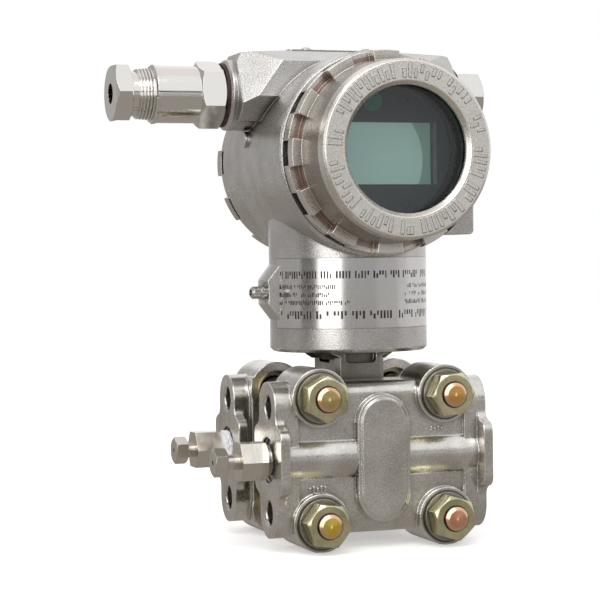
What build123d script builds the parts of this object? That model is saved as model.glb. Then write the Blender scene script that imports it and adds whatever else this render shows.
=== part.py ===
from build123d import *
from math import cos, hypot, radians, sin, sqrt, tan
import os

# Differential pressure transmitter: two process flanges clamp a sensing cell, and a swivelling
# cast housing with a display cover, a rear cover and two conduit entries stands on the cell's stem.
# Millimetres. The cell's centre is the origin while the pieces are made: -Y is the display side,
# +Z is up. Each piece is then moved so that the row's origin is the middle of the right-hand
# process face, where a manifold bolts on.

# General clearances, and the overlap that a cut needs past a face
running_gap = 0.05
free_gap = 0.3
past = 1.0

# Turned corners of every hexagon
hex_crown_angle = 30.0
hex_crown_flat = 0.97
hex_margin = 0.5

# Process flanges: cast blocks with a port passage along X and four tapped lobes
port_spacing = 54.0
end_bolt_spacing = 41.3
flange_half_length = 44.4
flange_body_half = 37.4
flange_gap = 29.0
flange_thickness = 21.2
flange_height = 60.0
flange_top_edge = 5.2
flange_low_edge = 6.8
flange_root = 2.5
lobe_radius = 10.0
lobe_hole_radius = 5.0
vent_lobe_hole_radius = 4.7
lobe_hole_depth = 11.0
lobe_hole_chamfer = 0.8
end_pad_width = 33.4
end_pad_thickness = 3.8
end_pad_straight = 9.0
end_pad_shoulder = 17.0
rib_half_height = 7.3
rib_rise = 3.0
badge_width = 21.8
badge_height = 50.0
badge_rise = 2.2
badge_rim = 1.6
port_radius = 6.2
port_depth = 13.0
port_recess_radius = 9.1
port_recess_depth = 1.6
passage_radius = 3.2
tap_radius = 2.2
cavity_radius = 20.0
cavity_depth = 1.2

# Flange bolts: four hex bolts with washers and nuts
bolt_spacing_x = 52.6
bolt_spacing_z = 48.8
bolt_radius = 5.0
bolt_hole_radius = 5.6
bolt_relief_radius = 7.7
bolt_relief_depth = 5.0
boss_radius = 11.5
boss_rise = 2.9
boss_seat_radius = 10.3
boss_seat_depth = 0.6
washer_radius = 9.6
washer_thickness = 1.8
nut_across_flats = 16.0
nut_thickness = 8.0
bolt_head_thickness = 6.4
bolt_stick_out = 2.4
bolt_dome = 1.6
bolt_tip_radius = 3.5
bolt_tip_drop = 0.5
nut_turns = (0.0, 22.0, 34.0, 12.0)

# Sensing cell: welded disc, square stem and round spigot
cell_bolt_gap = 0.5
cell_chamfer = 1.2
stem_width = 21.0
stem_depth = 28.0
stem_chamfer = 1.8
stem_top = 40.6
stem_window_width = 13.4
stem_window_height = 4.5
stem_window_depth = 3.0
stem_window_corner = 2.0
hub_top_radius = 19.3
hub_low_radius = 15.2
hub_height = 3.0
spigot_radius = 18.0
spigot_top = 62.0
cable_bore_radius = 4.0
capsule_radius = 11.0
capsule_length = 12.0
capsule_wire_radius = 2.0
diaphragm_radius = 17.0
diaphragm_thickness = 0.4
process_seal_radius = 22.5
process_seal_section = 1.5

# Vent valves on the left-hand ends
vent_hex = 14.5
vent_hex_length = 11.0
vent_neck_radius = 5.9
vent_neck_length = 10.0
vent_gaps = {"front": 1.4, "rear": 4.0}
vent_bore_radius = 3.0
vent_bore_length = 9.0
vent_stem_reaches = {"front": 4.8, "rear": 3.0}
vent_tip_hex = 9.8
vent_tip_length = 5.2
vent_bleed_radius = 1.0
tape_thickness = 0.4

# Housing: neck, barrel, shoulder block and conduit bosses in one casting
neck_radius = 32.2
neck_bottom = 41.0
neck_chamfer = 1.4
barrel_radius = 40.6
barrel_height = 119.4
barrel_front = 35.8
barrel_rear = 40.6
barrel_chamfer = 1.0
chamber_radius = 34.5
chamber_wall_front = 14.0
chamber_wall_rear = 10.2
neck_chamber_radius = 22.0
neck_chamber_low = 66.0
neck_chamber_high = 78.0
cable_way_radius = 3.2
conduit_y = 10.0
conduit_rise = 25.9
conduit_boss_radius = 14.3
conduit_boss_half = 49.6
conduit_bore_radius = 9.8
shoulder_half = 47.0
shoulder_front = 13.0
shoulder_rear = 31.0
shoulder_low_drop = 11.3
shoulder_foot_drop = 1.8
shoulder_tuck = 9.0
shoulder_front_rise = 12.5
roof_rise = 5.0
roof_middle_half = 26.0
roof_half = 45.2
roof_end_drop = 1.2
roof_front = -1.5
roof_rear = 20.0
shoulder_top_half = 31.0
shoulder_foot_half = 40.0
shoulder_corner_half = 46.0
shoulder_corner_rise = 2.2
shoulder_rear_corner = 15.0
earth_boss_height = 65.1
earth_boss_flat_half = 4.8
earth_boss_base_half = 13.9
earth_boss_radius = 36.8
earth_boss_root = 2.0
earth_boss_turn = 8.0
earth_boss_face_angle = 32.0
earth_boss_foot_angle = 44.0
earth_seat_radius = 4.2
earth_seat_depth = 0.4
lock_lug_half = 36.8
lock_lug_drop = 32.2
lock_lug_length = 12.0
lock_lug_nose = 8.5
lock_lug_corner = 2.0
lock_lug_clearance = 1.0
cast_dot_radius = 3.2
cast_dot_rise = 0.7
cast_dot_y = 8.5
cast_dot_height = 127.3
blind_hole_depth = 2.0

# Covers: castellated band, skirt and threaded spigot
seam_gap = 0.8
band_base_radius = 35.6
band_radius = 39.4
band_length = 10.8
band_lugs = 12
band_phase = 8.0
band_root = 1.0
band_lap = 0.8
cover_spigot_length = 12.0
cover_bore_radius = 29.5
front_skirt_length = 20.4
front_face_radius = 34.2
face_edge = 1.0
window_radius = 24.3
window_bevel = 1.6
window_lip = 3.0
rear_skirt_length = 10.0
rear_face_radius = 34.2
rear_wall = 4.0
rear_dish_radius = 25.0
rear_dish_depth = 1.2
cover_seal_section = 0.5
cover_seal_width = 3.6
glass_radius = 28.4
glass_thickness = 5.0
glass_seal_thickness = 0.6
retainer_thickness = 3.2
retainer_bore_radius = 25.6

# Display module and electronics
board_radius = 28.0
board_thickness = 1.6
board_gap = 6.0
post_radius = 2.4
post_circle = 21.0
display_radius = 25.8
display_face = 46.5
display_back = 25.0
display_window_width = 36.0
display_window_height = 24.0
display_window_depth = 2.4
display_window_drop = 0.6
display_wall = 1.6
display_edge = 0.8
lcd_thickness = 1.4
key_radius = 2.3
key_bore_radius = 1.3
key_rise = 0.4
key_x = 6.4
key_drop = 19.8
sticker_radius = 3.9
sticker_x = -6.8
sticker_height = 19.4
sticker_thickness = 0.15
chip_width = 12.0
chip_thickness = 2.0
chip_drop = 6.0
post_angles = (90.0, 210.0, 330.0)

# Terminal side
terminal_radius = 27.0
terminal_depth = 16.0
terminal_top = 10.0
terminal_pitch = 11.0
terminal_row_drop = 6.0
terminal_screw_radius = 1.9
terminal_head_radius = 3.2
terminal_head_height = 2.4
terminal_screw_depth = 7.0
terminal_fin = 1.5
terminal_fin_rise = 5.0
terminal_fin_drop = 14.0
terminal_fin_step = 2.0
terminal_screws_across = 3
feedthrough_radius = 5.0
feedthrough_drop = 18.0
feedthrough_length = 4.0
feedthrough_stick_out = 2.0

# Cable gland on the left and plug on the right
gasket_thickness = 1.2
gasket_radius = 12.9
gland_hex = 24.0
gland_hex_length = 10.4
gland_vertex_turn = 52.7
gland_barrel_radius = 11.5
gland_barrel_length = 18.6
gland_rim_radius = 11.9
gland_rim_width = 1.7
gland_barrel_edge = 0.6
gland_thread_radius = 9.5
gland_socket_depth = 16.0
gland_bore_radius = 6.2
gland_inner_length = 14.0
gland_cap_hex = 22.0
gland_cap_length = 7.1
gland_cap_gap = 9.1
gland_cap_turn = 30.0
gland_cap_neck_radius = 8.9
gland_cap_neck_length = 2.8
cable_hole_radius = 4.1
cable_seal_length = 7.0
plug_hex = 20.0
plug_hex_length = 11.7
plug_gasket_radius = 12.6

# Roof: tag plate, its two screws and the two adjustment buttons
tag_seat_depth = 0.2
tag_width = 47.0
tag_depth = 17.0
tag_y = 10.0
tag_thickness = 0.8
tag_corner = 2.0
tag_screw_x = 13.2
tag_screw_radius = 1.25
tag_head_radius = 2.3
tag_head_height = 1.4
tag_dome_radius = 1.3
tag_dome_side = 0.7
tag_shank_length = 4.5
button_x = 5.5
button_radius = 2.6
button_length = 4.0
button_travel = 1.2
button_recess = 0.5
button_edge = 0.4

# Small screws
earth_screw_turn = 5.0
earth_screw_radius = 1.5
earth_head_radius = 2.5
earth_head_height = 3.9
earth_head_edge = 0.8
earth_spring_radius = 2.5
earth_spring_height = 2.0
earth_washer_radius = 3.1
earth_washer_thickness = 0.85
swivel_screw_radius = 2.5
swivel_screw_height = 51.0
swivel_groove_depth = 2.0
lock_screw_x = 31.0
lock_screw_radius = 2.0
lock_screw_length = 4.5
socket_hex = 2.5
lock_socket_hex = 2.0
socket_depth = 2.0
screw_recess = 0.5
screw_slot_width = 0.9
screw_slot_depth = 0.8

# Places worked out from the sizes above
port_y = port_spacing / 2
inner_y = flange_gap / 2
face_y = inner_y + flange_thickness
boss_y = face_y + boss_rise
seat_y = boss_y - boss_seat_depth
bolt_x = bolt_spacing_x / 2
bolt_z = bolt_spacing_z / 2
cell_radius = hypot(bolt_x, bolt_z) - bolt_radius - cell_bolt_gap
washer_top = seat_y + washer_thickness
nut_top = washer_top + nut_thickness
bolt_tip = nut_top + bolt_stick_out
spigot_bore_radius = spigot_radius + running_gap
front_seam = barrel_front + seam_gap
rear_seam = barrel_rear + seam_gap
front_face = front_seam + band_length + front_skirt_length
rear_face = rear_seam + band_length + rear_skirt_length
thread_radius = chamber_radius - running_gap
glass_front = front_face - window_lip - glass_seal_thickness
glass_back = glass_front - glass_thickness
board_back = chamber_wall_front + board_gap
board_front = board_back + board_thickness
gasket_end = conduit_boss_half + gasket_thickness
gland_hex_end = gasket_end + gland_hex_length
gland_barrel_end = gland_hex_end + gland_barrel_length
gland_socket_floor = gland_barrel_end - gland_socket_depth
cable_seal_end = gland_socket_floor + cable_seal_length
cap_start = gland_barrel_end + gland_cap_gap
cap_end = cap_start + gland_cap_length
conduit_height = barrel_height + conduit_rise
shoulder_low = conduit_height - shoulder_low_drop
shoulder_foot_height = conduit_height - shoulder_foot_drop
shoulder_front_height = conduit_height + shoulder_front_rise
shoulder_corner_height = shoulder_front_height + shoulder_corner_rise
roof_height = shoulder_front_height + roof_rise
roof_end_height = roof_height - roof_end_drop
seat_height = roof_height - tag_seat_depth
tag_bottom = seat_height + free_gap
tag_top = tag_bottom + tag_thickness
tag_head = tag_top + free_gap
button_top = seat_height - button_recess
button_bottom = button_top - button_length

earth_seat = earth_boss_radius - earth_seat_depth
earth_head_base = earth_seat + earth_spring_height + earth_washer_thickness

barrel_middle = (0, 0, barrel_height)
conduit_middle = (0, conduit_y, conduit_height)
display_floor = display_face - display_window_depth - lcd_thickness
display_inside = display_floor - display_wall
lcd_z = barrel_height - display_window_drop
terminal_start = -chamber_wall_rear
terminal_face = terminal_start + terminal_depth

earth_way = (-cos(radians(earth_screw_turn)), -sin(radians(earth_screw_turn)), 0)
front = (0, -1, 0)
rear = (0, 1, 0)
left = (-1, 0, 0)
right = (1, 0, 0)
up = (0, 0, 1)


def turned(outline, at=(0, 0, 0), along=up):
    """Solid of revolution; outline is a closed list of (distance along the axis, radius)."""
    face = make_face(Plane.XZ * Polyline(*[(radius, reach) for reach, radius in outline], close=True))
    return Plane(origin=at, z_dir=along) * revolve(face, Axis.Z)


def rod(radius, start, end, at=(0, 0, 0), along=up):
    return turned([(start, 0), (start, radius), (end, radius), (end, 0)], at, along)


def ring(bore, radius, start, end, at=(0, 0, 0), along=up):
    return turned([(start, bore), (start, radius), (end, radius), (end, bore)], at, along)


def hexagon(across_flats, start, end, at=(0, 0, 0), along=up, side=up, turn=0.0, crown=(True, True)):
    """Hexagonal bar; side points at a vertex before turn is added, crown tells which ends are turned."""
    corner = across_flats / sqrt(3)
    flat = hex_crown_flat * across_flats / 2
    wide = corner + hex_margin
    drop = (wide - flat) * tan(radians(hex_crown_angle))
    outline = [(start, 0)]
    outline += [(start, flat), (start + drop, wide)] if crown[0] else [(start, wide)]
    outline += [(end - drop, wide), (end, flat)] if crown[1] else [(end, wide)]
    outline += [(end, 0)]
    prism = Pos(0, 0, start) * extrude(Rot(0, 0, turn) * RegularPolygon(corner, 6), end - start)
    return Plane(origin=at, x_dir=side, z_dir=along) * (prism & turned(outline))


def box_between(x, y, z):
    size = [high - low for low, high in (x, y, z)]
    middle = [(low + high) / 2 for low, high in (x, y, z)]
    return Pos(*middle) * Box(*size)


def bolt_places():
    return [(x, z) for x in (-bolt_x, bolt_x) for z in (bolt_z, -bolt_z)]


def flange():
    """Front flange; the rear one is its mirror image."""
    body = box_between(
        (-flange_body_half, flange_body_half), (-face_y, -inner_y), (-flange_height / 2, flange_height / 2)
    )
    low, top = body.edges().filter_by(Axis.X).group_by(Axis.Y)[0].sort_by(Axis.Z)
    body = fillet(low, flange_low_edge)
    body = fillet(body.edges().filter_by(Axis.X).group_by(Axis.Z)[-1].sort_by(Axis.Y)[0], flange_top_edge)
    for x, z in bolt_places():
        body += rod(boss_radius, inner_y, boss_y, (x, 0, z), front)
    rib_radius = (rib_half_height**2 + rib_rise**2) / (2 * rib_rise)
    rib_centre = face_y + rib_rise - rib_radius
    rib_end = flange_half_length - end_pad_thickness
    rib = rod(rib_radius, -rib_end, rib_end, (0, -rib_centre, 0), right)
    body += rib & box_between(
        (-rib_end, rib_end), (-boss_y - rib_rise, -port_y), (-rib_half_height, rib_half_height)
    )
    body += badge()
    for side in (-1, 1):
        body += flange_end(side)
    for side in (-1, 1):
        body -= end_holes(side)
    for x, z in bolt_places():
        body -= rod(bolt_hole_radius, 0, boss_y + past, (x, 0, z), front)
        body -= rod(bolt_relief_radius, 0, inner_y + bolt_relief_depth, (x, 0, z), front)
        body -= rod(boss_seat_radius, seat_y, boss_y + past, (x, 0, z), front)
    body -= rod(passage_radius, -flange_half_length, flange_half_length, (0, -port_y, 0), right)
    body -= rod(tap_radius, 0, port_y, (0, 0, 0), front)
    body -= rod(cavity_radius, 0, inner_y + cavity_depth, (0, 0, 0), front)
    return body


def flange_end(side):
    """Stadium of one end with the two lobes, and the pad round its port."""
    place = Plane(origin=(0, -port_y, 0), x_dir=(0, side, 0), z_dir=(side, 0, 0))
    bar = place * SlotCenterToCenter(end_bolt_spacing, 2 * lobe_radius, rotation=90)
    inner = flange_body_half - flange_root
    end = extrude(Pos(side * inner, 0, 0) * bar, flange_half_length - inner)
    pad = Pos(side * (flange_half_length - end_pad_thickness), 0, 0) * (place * end_pad())
    return end + extrude(pad, end_pad_thickness)


def end_pad():
    """Outline of the pad: S-shaped flanks run from the sides of the lobes out to the pad's width."""
    half = end_pad_width / 2
    middle = ((lobe_radius + half) / 2, (end_pad_straight + end_pad_shoulder) / 2)
    edges = []
    for y in (1, -1):
        for z in (1, -1):
            turning = (y * middle[0], z * middle[1])
            edges.append(TangentArc((y * lobe_radius, z * end_pad_shoulder), turning, tangent=(0, -z)))
            edges.append(TangentArc((y * half, z * end_pad_straight), turning, tangent=(0, z)))
        edges.append(Line((y * half, -end_pad_straight), (y * half, end_pad_straight)))
        edges.append(Line((-lobe_radius, y * end_pad_shoulder), (lobe_radius, y * end_pad_shoulder)))
    return make_face(edges)


def badge():
    """Raised stadium on the flange's face with a stepped rim."""
    outer = SlotOverall(badge_height, badge_width, rotation=90)
    inner = SlotOverall(badge_height - 2 * badge_rim, badge_width - 2 * badge_rim, rotation=90)
    face = Plane(origin=(0, -face_y + flange_root, 0), x_dir=right, z_dir=front)
    step = face * extrude(outer, flange_root + badge_rise / 2)
    return step + face * extrude(inner, flange_root + badge_rise)


def end_holes(side):
    """The port with its gasket recess and the two tapped lobe holes, countersunk on the vent end only."""
    along = (side, 0, 0)
    end = flange_half_length
    holes = rod(port_radius, end - port_depth - port_recess_depth, end + past, (0, -port_y, 0), along)
    holes += rod(port_recess_radius, end - port_recess_depth, end + past, (0, -port_y, 0), along)
    radius, countersink = lobe_hole_radius, 0
    if side == -1:
        radius, countersink = vent_lobe_hole_radius, lobe_hole_chamfer
    for z in (-end_bolt_spacing / 2, end_bolt_spacing / 2):
        at = (0, -port_y, z)
        holes += rod(radius, end - lobe_hole_depth, end + past, at, along)
        if countersink:
            holes += turned(
                [
                    (end - countersink, 0),
                    (end - countersink, radius),
                    (end, radius + countersink),
                    (end + past, radius + countersink),
                    (end + past, 0),
                ],
                at,
                along,
            )
    return holes


def bolt(x, z):
    shank = turned(
        [
            (-washer_top, 0),
            (-washer_top, bolt_radius),
            (bolt_tip - bolt_dome, bolt_radius),
            (bolt_tip - bolt_tip_drop, bolt_tip_radius),
            (bolt_tip, 0),
        ],
        (x, 0, z),
        front,
    )
    head = hexagon(nut_across_flats, washer_top, washer_top + bolt_head_thickness, (x, 0, z), rear,
                   crown=(False, True))
    return shank + head


def nut(x, z, turn):
    body = hexagon(nut_across_flats, washer_top, nut_top, (x, 0, z), front, turn=turn)
    return body - rod(bolt_radius + running_gap, washer_top - past, nut_top + past, (x, 0, z), front)


def washers():
    return [
        ring(bolt_radius + free_gap, washer_radius, seat_y, washer_top, (x, 0, z), side)
        for x, z in bolt_places()
        for side in (front, rear)
    ]


def sensor_cell():
    """Welded sensing cell: disc between the flanges, square stem and the round spigot of the swivel."""
    body = turned(
        [
            (-inner_y, 0),
            (-inner_y, cell_radius - cell_chamfer),
            (-inner_y + cell_chamfer, cell_radius),
            (inner_y - cell_chamfer, cell_radius),
            (inner_y, cell_radius - cell_chamfer),
            (inner_y, 0),
        ],
        along=rear,
    )
    half_x = stem_width / 2
    half_y = stem_depth / 2
    stem = box_between((-half_x, half_x), (-half_y, half_y), (0, stem_top))
    stem = chamfer(stem.edges().filter_by(Axis.Z), stem_chamfer)
    body += stem
    hub = turned(
        [
            (stem_top - hub_height, 0),
            (stem_top - hub_height, hub_low_radius),
            (stem_top, hub_top_radius),
            (stem_top, 0),
        ]
    )
    body += hub & box_between((-hub_top_radius, hub_top_radius), (-half_y, hub_top_radius), (0, stem_top))
    window = RectangleRounded(stem_window_width, 2 * stem_window_height, stem_window_corner)
    window &= Pos(0, -stem_window_height / 2) * Rectangle(stem_window_width, stem_window_height)
    opening = extrude(window, hub_top_radius)
    for direction, depth, across in ((front, half_y, right), (left, half_x, front), (right, half_x, rear)):
        place = Plane(origin=(0, 0, stem_top), x_dir=across, z_dir=direction)
        body -= place * Pos(0, 0, depth - stem_window_depth) * opening
    groove_low = swivel_screw_height - swivel_screw_radius - free_gap
    groove_high = swivel_screw_height + swivel_screw_radius + free_gap
    groove_radius = spigot_radius - swivel_groove_depth
    body += turned(
        [
            (stem_top, 0),
            (stem_top, spigot_radius),
            (groove_low, spigot_radius),
            (groove_low, groove_radius),
            (groove_high, groove_radius),
            (groove_high, spigot_radius),
            (spigot_top, spigot_radius),
            (spigot_top, 0),
        ]
    )
    body -= rod(capsule_radius, -capsule_length / 2, capsule_length / 2, along=rear)
    body -= rod(cable_bore_radius, 0, spigot_top + past)
    for side in (front, rear):
        body -= rod(diaphragm_radius, inner_y - diaphragm_thickness, inner_y + past, along=side)
        body -= seal_groove(side)
    return body


def seal_groove(side):
    return ring(process_seal_radius - process_seal_section, process_seal_radius + process_seal_section,
                inner_y - process_seal_section, inner_y + past, along=side)


def process_seals():
    """Flat-sided sealing rings that lie in the cell's two grooves."""
    half = process_seal_section - running_gap
    return [
        ring(process_seal_radius - half, process_seal_radius + half, inner_y - half, inner_y, along=side)
        for side in (front, rear)
    ]


def diaphragms():
    return [
        rod(diaphragm_radius - running_gap, inner_y - diaphragm_thickness, inner_y, along=side)
        for side in (front, rear)
    ]


def vent_start(which):
    return flange_half_length + vent_gaps[which]


def vent_y(which):
    return -port_y if which == "front" else port_y


def vent_body(which):
    at = (0, vent_y(which), 0)
    start = vent_start(which)
    end = start + vent_hex_length
    body = hexagon(vent_hex, start, end, at, left, side=front, crown=(True, False))
    body += rod(vent_neck_radius, start - vent_neck_length, start, at, left)
    body -= rod(vent_bore_radius, end - vent_bore_length, end + past, at, left)
    return body - rod(vent_bleed_radius, 0, end, at, left)


def vent_screw(which):
    at = (0, vent_y(which), 0)
    end = vent_start(which) + vent_hex_length
    tip = end + vent_stem_reaches[which]
    stem_radius = vent_bore_radius - running_gap
    point = end - vent_bore_length + free_gap
    body = turned(
        [(point, 0), (point + stem_radius, stem_radius), (tip, stem_radius), (tip, 0)], at, left
    )
    body += hexagon(vent_tip_hex, tip, tip + vent_tip_length, at, left, side=front, turn=30)
    return body - rod(vent_bleed_radius, tip, tip + vent_tip_length + past, at, left)


def vent_tape():
    """Sealing tape wound on the rear valve's thread, showing between hexagon and flange."""
    start = vent_start("rear")
    inner = vent_neck_radius
    outer = port_radius + tape_thickness / 2
    return ring(inner, outer, flange_half_length, start, (0, port_y, 0), left)


def capsule():
    """Differential sensing element between the two diaphragms, with the wire hole on top."""
    half = capsule_length / 2 - running_gap
    body = rod(capsule_radius - running_gap, -half, half, along=rear)
    return body - rod(capsule_wire_radius, 0, capsule_radius)


def shoulder():
    """Faceted block over the conduit entries, with a flat roof for the tag plate."""
    side = [
        (shoulder_tuck - shoulder_front, shoulder_low),
        (-shoulder_front, shoulder_foot_height),
        (-shoulder_front, shoulder_front_height),
        (roof_front, roof_height),
        (roof_rear, roof_height),
        (shoulder_rear, shoulder_front_height),
        (shoulder_rear, shoulder_foot_height),
        (shoulder_rear - shoulder_tuck, shoulder_low),
    ]
    block = extrude(Plane.YZ * make_face(Polyline(*side, close=True)), shoulder_half, both=True)
    ends = [
        (-shoulder_half, shoulder_low),
        (-shoulder_half, shoulder_front_height),
        (-roof_half, roof_end_height),
        (-roof_middle_half, roof_height),
        (roof_middle_half, roof_height),
        (roof_half, roof_end_height),
        (shoulder_half, shoulder_front_height),
        (shoulder_half, shoulder_low),
    ]
    block &= extrude(Plane.XZ * make_face(Polyline(*ends, close=True)), 2 * shoulder_rear, both=True)
    reach = 2 * shoulder_half
    corners = ((-shoulder_front, roof_front, 1), (shoulder_rear, shoulder_rear_corner, -1))
    for turn in (1, -1):
        for face, corner_y, sense in corners:
            top = Vector(turn * shoulder_top_half, face, shoulder_front_height)
            foot = Vector(turn * shoulder_foot_half, face, conduit_height)
            corner = Vector(turn * shoulder_corner_half, corner_y, shoulder_corner_height)
            normal = (foot - top).cross(corner - top) * turn * sense
            block -= Plane(origin=top, z_dir=normal) * Pos(0, 0, reach / 2) * Box(2 * reach, 2 * reach, reach)
    return block - tag_seat()


def tag_seat():
    """Cutter of the milled seat under the tag plate, open to the front and to the rear."""
    half = tag_width / 2 + free_gap
    return box_between((-half, half), (-shoulder_front - past, shoulder_rear + past),
                       (seat_height, seat_height + 2 * conduit_boss_radius))


def earth_boss():
    """Raised pad for the earth screw: it follows the round neck, with sloping flanks all round."""
    root = neck_radius - earth_boss_root
    pad = turned(
        [
            (-earth_boss_base_half, 0),
            (-earth_boss_base_half, root),
            (-earth_boss_flat_half, earth_boss_radius),
            (earth_boss_flat_half, earth_boss_radius),
            (earth_boss_base_half, root),
            (earth_boss_base_half, 0),
        ],
        (0, 0, earth_boss_height),
    )
    far = (earth_boss_radius + past) / cos(radians(earth_boss_face_angle / 2))
    corners = []
    for distance, angle in ((root, earth_boss_foot_angle / 2), (far, earth_boss_face_angle / 2)):
        for sense in (1, -1):
            turn = radians(180 - earth_boss_turn + sense * angle)
            corners.append((distance * cos(turn), distance * sin(turn)))
    sector = Polyline((0, 0), corners[0], corners[2], corners[3], corners[1], close=True)
    wedge = extrude(make_face(sector), earth_boss_height + neck_radius)
    seat = rod(earth_seat_radius, earth_seat, earth_boss_radius + past, (0, 0, earth_boss_height), earth_way)
    return (pad & wedge) - seat


def lock_lug(rim):
    """Cast lug under the front rim; its nose passes the cover's band with a round clearance."""
    nose = -rim - lock_lug_nose
    bottom = barrel_height - lock_lug_drop
    lug = box_between((0, lock_lug_half), (nose, lock_lug_length - rim), (bottom, barrel_height))
    lug = fillet(lug.edges().filter_by(Axis.Y).sort_by(Axis.Z)[:2].sort_by(Axis.X)[-1], lock_lug_corner)
    return lug - rod(band_radius + lock_lug_clearance, rim, rim + lock_lug_nose + past, barrel_middle, front)


def lock_screw_place(rim):
    return (lock_screw_x, -rim - lock_lug_nose / 2, barrel_height - lock_lug_drop)


def lock_hole(rim):
    return rod(lock_screw_radius + running_gap, -past, lock_lug_drop / 2, lock_screw_place(rim))


def housing():
    body = rod(barrel_radius, -barrel_front, barrel_rear, barrel_middle, rear)
    body = chamfer(body.edges().filter_by(GeomType.CIRCLE), barrel_chamfer)
    neck = turned(
        [
            (neck_bottom, 0),
            (neck_bottom, neck_radius - neck_chamfer),
            (neck_bottom + neck_chamfer, neck_radius),
            (barrel_height, neck_radius),
            (barrel_height, 0),
        ]
    )
    body += neck
    body += shoulder()
    body += turned(
        [
            (-conduit_boss_half, 0),
            (-conduit_boss_half, conduit_boss_radius - barrel_chamfer),
            (-conduit_boss_half + barrel_chamfer, conduit_boss_radius),
            (conduit_boss_half - barrel_chamfer, conduit_boss_radius),
            (conduit_boss_half, conduit_boss_radius - barrel_chamfer),
            (conduit_boss_half, 0),
        ],
        conduit_middle,
        right,
    )
    body += earth_boss()
    body += rod(cast_dot_radius, 0, barrel_radius + cast_dot_rise, (0, cast_dot_y, cast_dot_height), left)
    body += lock_lug(barrel_front)
    body += mirror(lock_lug(barrel_rear), about=Plane.XZ)
    body -= rod(chamber_radius, chamber_wall_front, barrel_front + past, barrel_middle, front)
    body -= rod(chamber_radius, -chamber_wall_rear, barrel_rear + past, barrel_middle, rear)
    body -= rod(spigot_bore_radius, neck_bottom - past, neck_chamber_low)
    body -= rod(neck_chamber_radius, neck_chamber_low, neck_chamber_high)
    cable_way_y = chamber_wall_front + cable_way_radius + free_gap
    body -= rod(cable_way_radius, neck_chamber_low, barrel_height, (0, -cable_way_y, 0))
    body -= rod(conduit_bore_radius, -conduit_boss_half - past, conduit_boss_half + past,
                conduit_middle, right)
    body -= rod(feedthrough_radius + running_gap, chamber_wall_rear - past, chamber_wall_front + past,
                (0, 0, barrel_height - feedthrough_drop), front)
    body -= rod(earth_screw_radius + running_gap, neck_radius - blind_hole_depth, earth_boss_radius + past,
                (0, 0, earth_boss_height), earth_way)
    body -= rod(swivel_screw_radius + running_gap, 0, neck_radius + past, (0, 0, swivel_screw_height), rear)
    body -= lock_hole(barrel_front)
    body -= mirror(lock_hole(barrel_rear), about=Plane.XZ)
    for x in (-tag_screw_x, tag_screw_x):
        body -= rod(tag_screw_radius + running_gap, seat_height - tag_shank_length - free_gap,
                    seat_height + past, (x, tag_y, 0))
    for x in (-button_x, button_x):
        body -= rod(button_radius + running_gap, button_bottom - button_travel - free_gap,
                    seat_height + past, (x, tag_y, 0))
    return body


def band(seam, side):
    """Grip band of a cover: two rows of lugs that alternate round the rim."""
    step = 180.0 / band_lugs
    row = band_length / 2
    low = band_base_radius - band_root
    place = Plane(origin=barrel_middle, x_dir=right, z_dir=side)
    lugs = []
    for index in range(2 * band_lugs):
        start = seam + row * (index % 2)
        profile = Pos((low + band_radius) / 2, 0, start + row / 2) * Rot(90, 0, 0) * Rectangle(
            band_radius - low, row)
        turn = band_phase + step * index - band_lap / 2
        lugs.append(place * Rot(0, 0, turn) * revolve(profile, Axis.Z, step + band_lap))
    return lugs


def front_cover():
    end = front_face
    glass_seat = end - window_lip
    body = turned(
        [
            (front_seam - cover_spigot_length, cover_bore_radius),
            (front_seam - cover_spigot_length, thread_radius),
            (front_seam, thread_radius),
            (front_seam, band_base_radius),
            (front_seam + band_length, band_base_radius),
            (end - face_edge, front_face_radius),
            (end, front_face_radius - face_edge),
            (end, window_radius + window_bevel),
            (end - window_bevel, window_radius),
            (glass_seat, window_radius),
            (glass_seat, cover_bore_radius),
        ],
        barrel_middle,
        front,
    )
    return body.fuse(*band(front_seam, front))


def rear_cover():
    end = rear_face
    floor = end - rear_wall
    body = turned(
        [
            (rear_seam - cover_spigot_length, cover_bore_radius),
            (rear_seam - cover_spigot_length, thread_radius),
            (rear_seam, thread_radius),
            (rear_seam, band_base_radius),
            (rear_seam + band_length, band_base_radius),
            (end - face_edge, rear_face_radius),
            (end, rear_face_radius - face_edge),
            (end, rear_dish_radius + rear_dish_depth),
            (end - rear_dish_depth, rear_dish_radius),
            (end - rear_dish_depth, 0),
            (floor, 0),
            (floor, cover_bore_radius),
        ],
        barrel_middle,
        rear,
    )
    return body.fuse(*band(rear_seam, rear))


def cover_seal(seam, side):
    """Ring that lies against a cover's shoulder and shows as the dark seam."""
    return ring(thread_radius, thread_radius + cover_seal_width, seam - cover_seal_section, seam,
                barrel_middle, side)


def window_gasket():
    return ring(window_radius + free_gap, glass_radius, glass_front, glass_front + glass_seal_thickness,
                barrel_middle, front)


def window_glass():
    return rod(glass_radius, glass_back, glass_front, barrel_middle, front)


def glass_retainer():
    return ring(retainer_bore_radius, cover_bore_radius, glass_back - retainer_thickness, glass_back,
                barrel_middle, front)


def post_places():
    return [
        (post_circle * cos(radians(turn)), barrel_height + post_circle * sin(radians(turn)))
        for turn in post_angles
    ]


def posts(start, end):
    return [rod(post_radius, start, end, (x, 0, z), front) for x, z in post_places()]


def board():
    disc = rod(board_radius, board_back, board_front, barrel_middle, front)
    chip = Box(chip_width, chip_thickness, chip_width)
    return disc + Pos(0, -board_front - chip_thickness / 2, barrel_height - chip_drop) * chip


def display_case():
    """Moulded cup of the display, open at the back, with its recessed window."""
    body = turned(
        [
            (display_back, display_radius - display_wall),
            (display_back, display_radius),
            (display_face - display_edge, display_radius),
            (display_face, display_radius - display_edge),
            (display_face, 0),
            (display_inside, 0),
            (display_inside, display_radius - display_wall),
        ],
        barrel_middle,
        front,
    )
    return body - lcd_space(display_floor, display_face + past)


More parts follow.
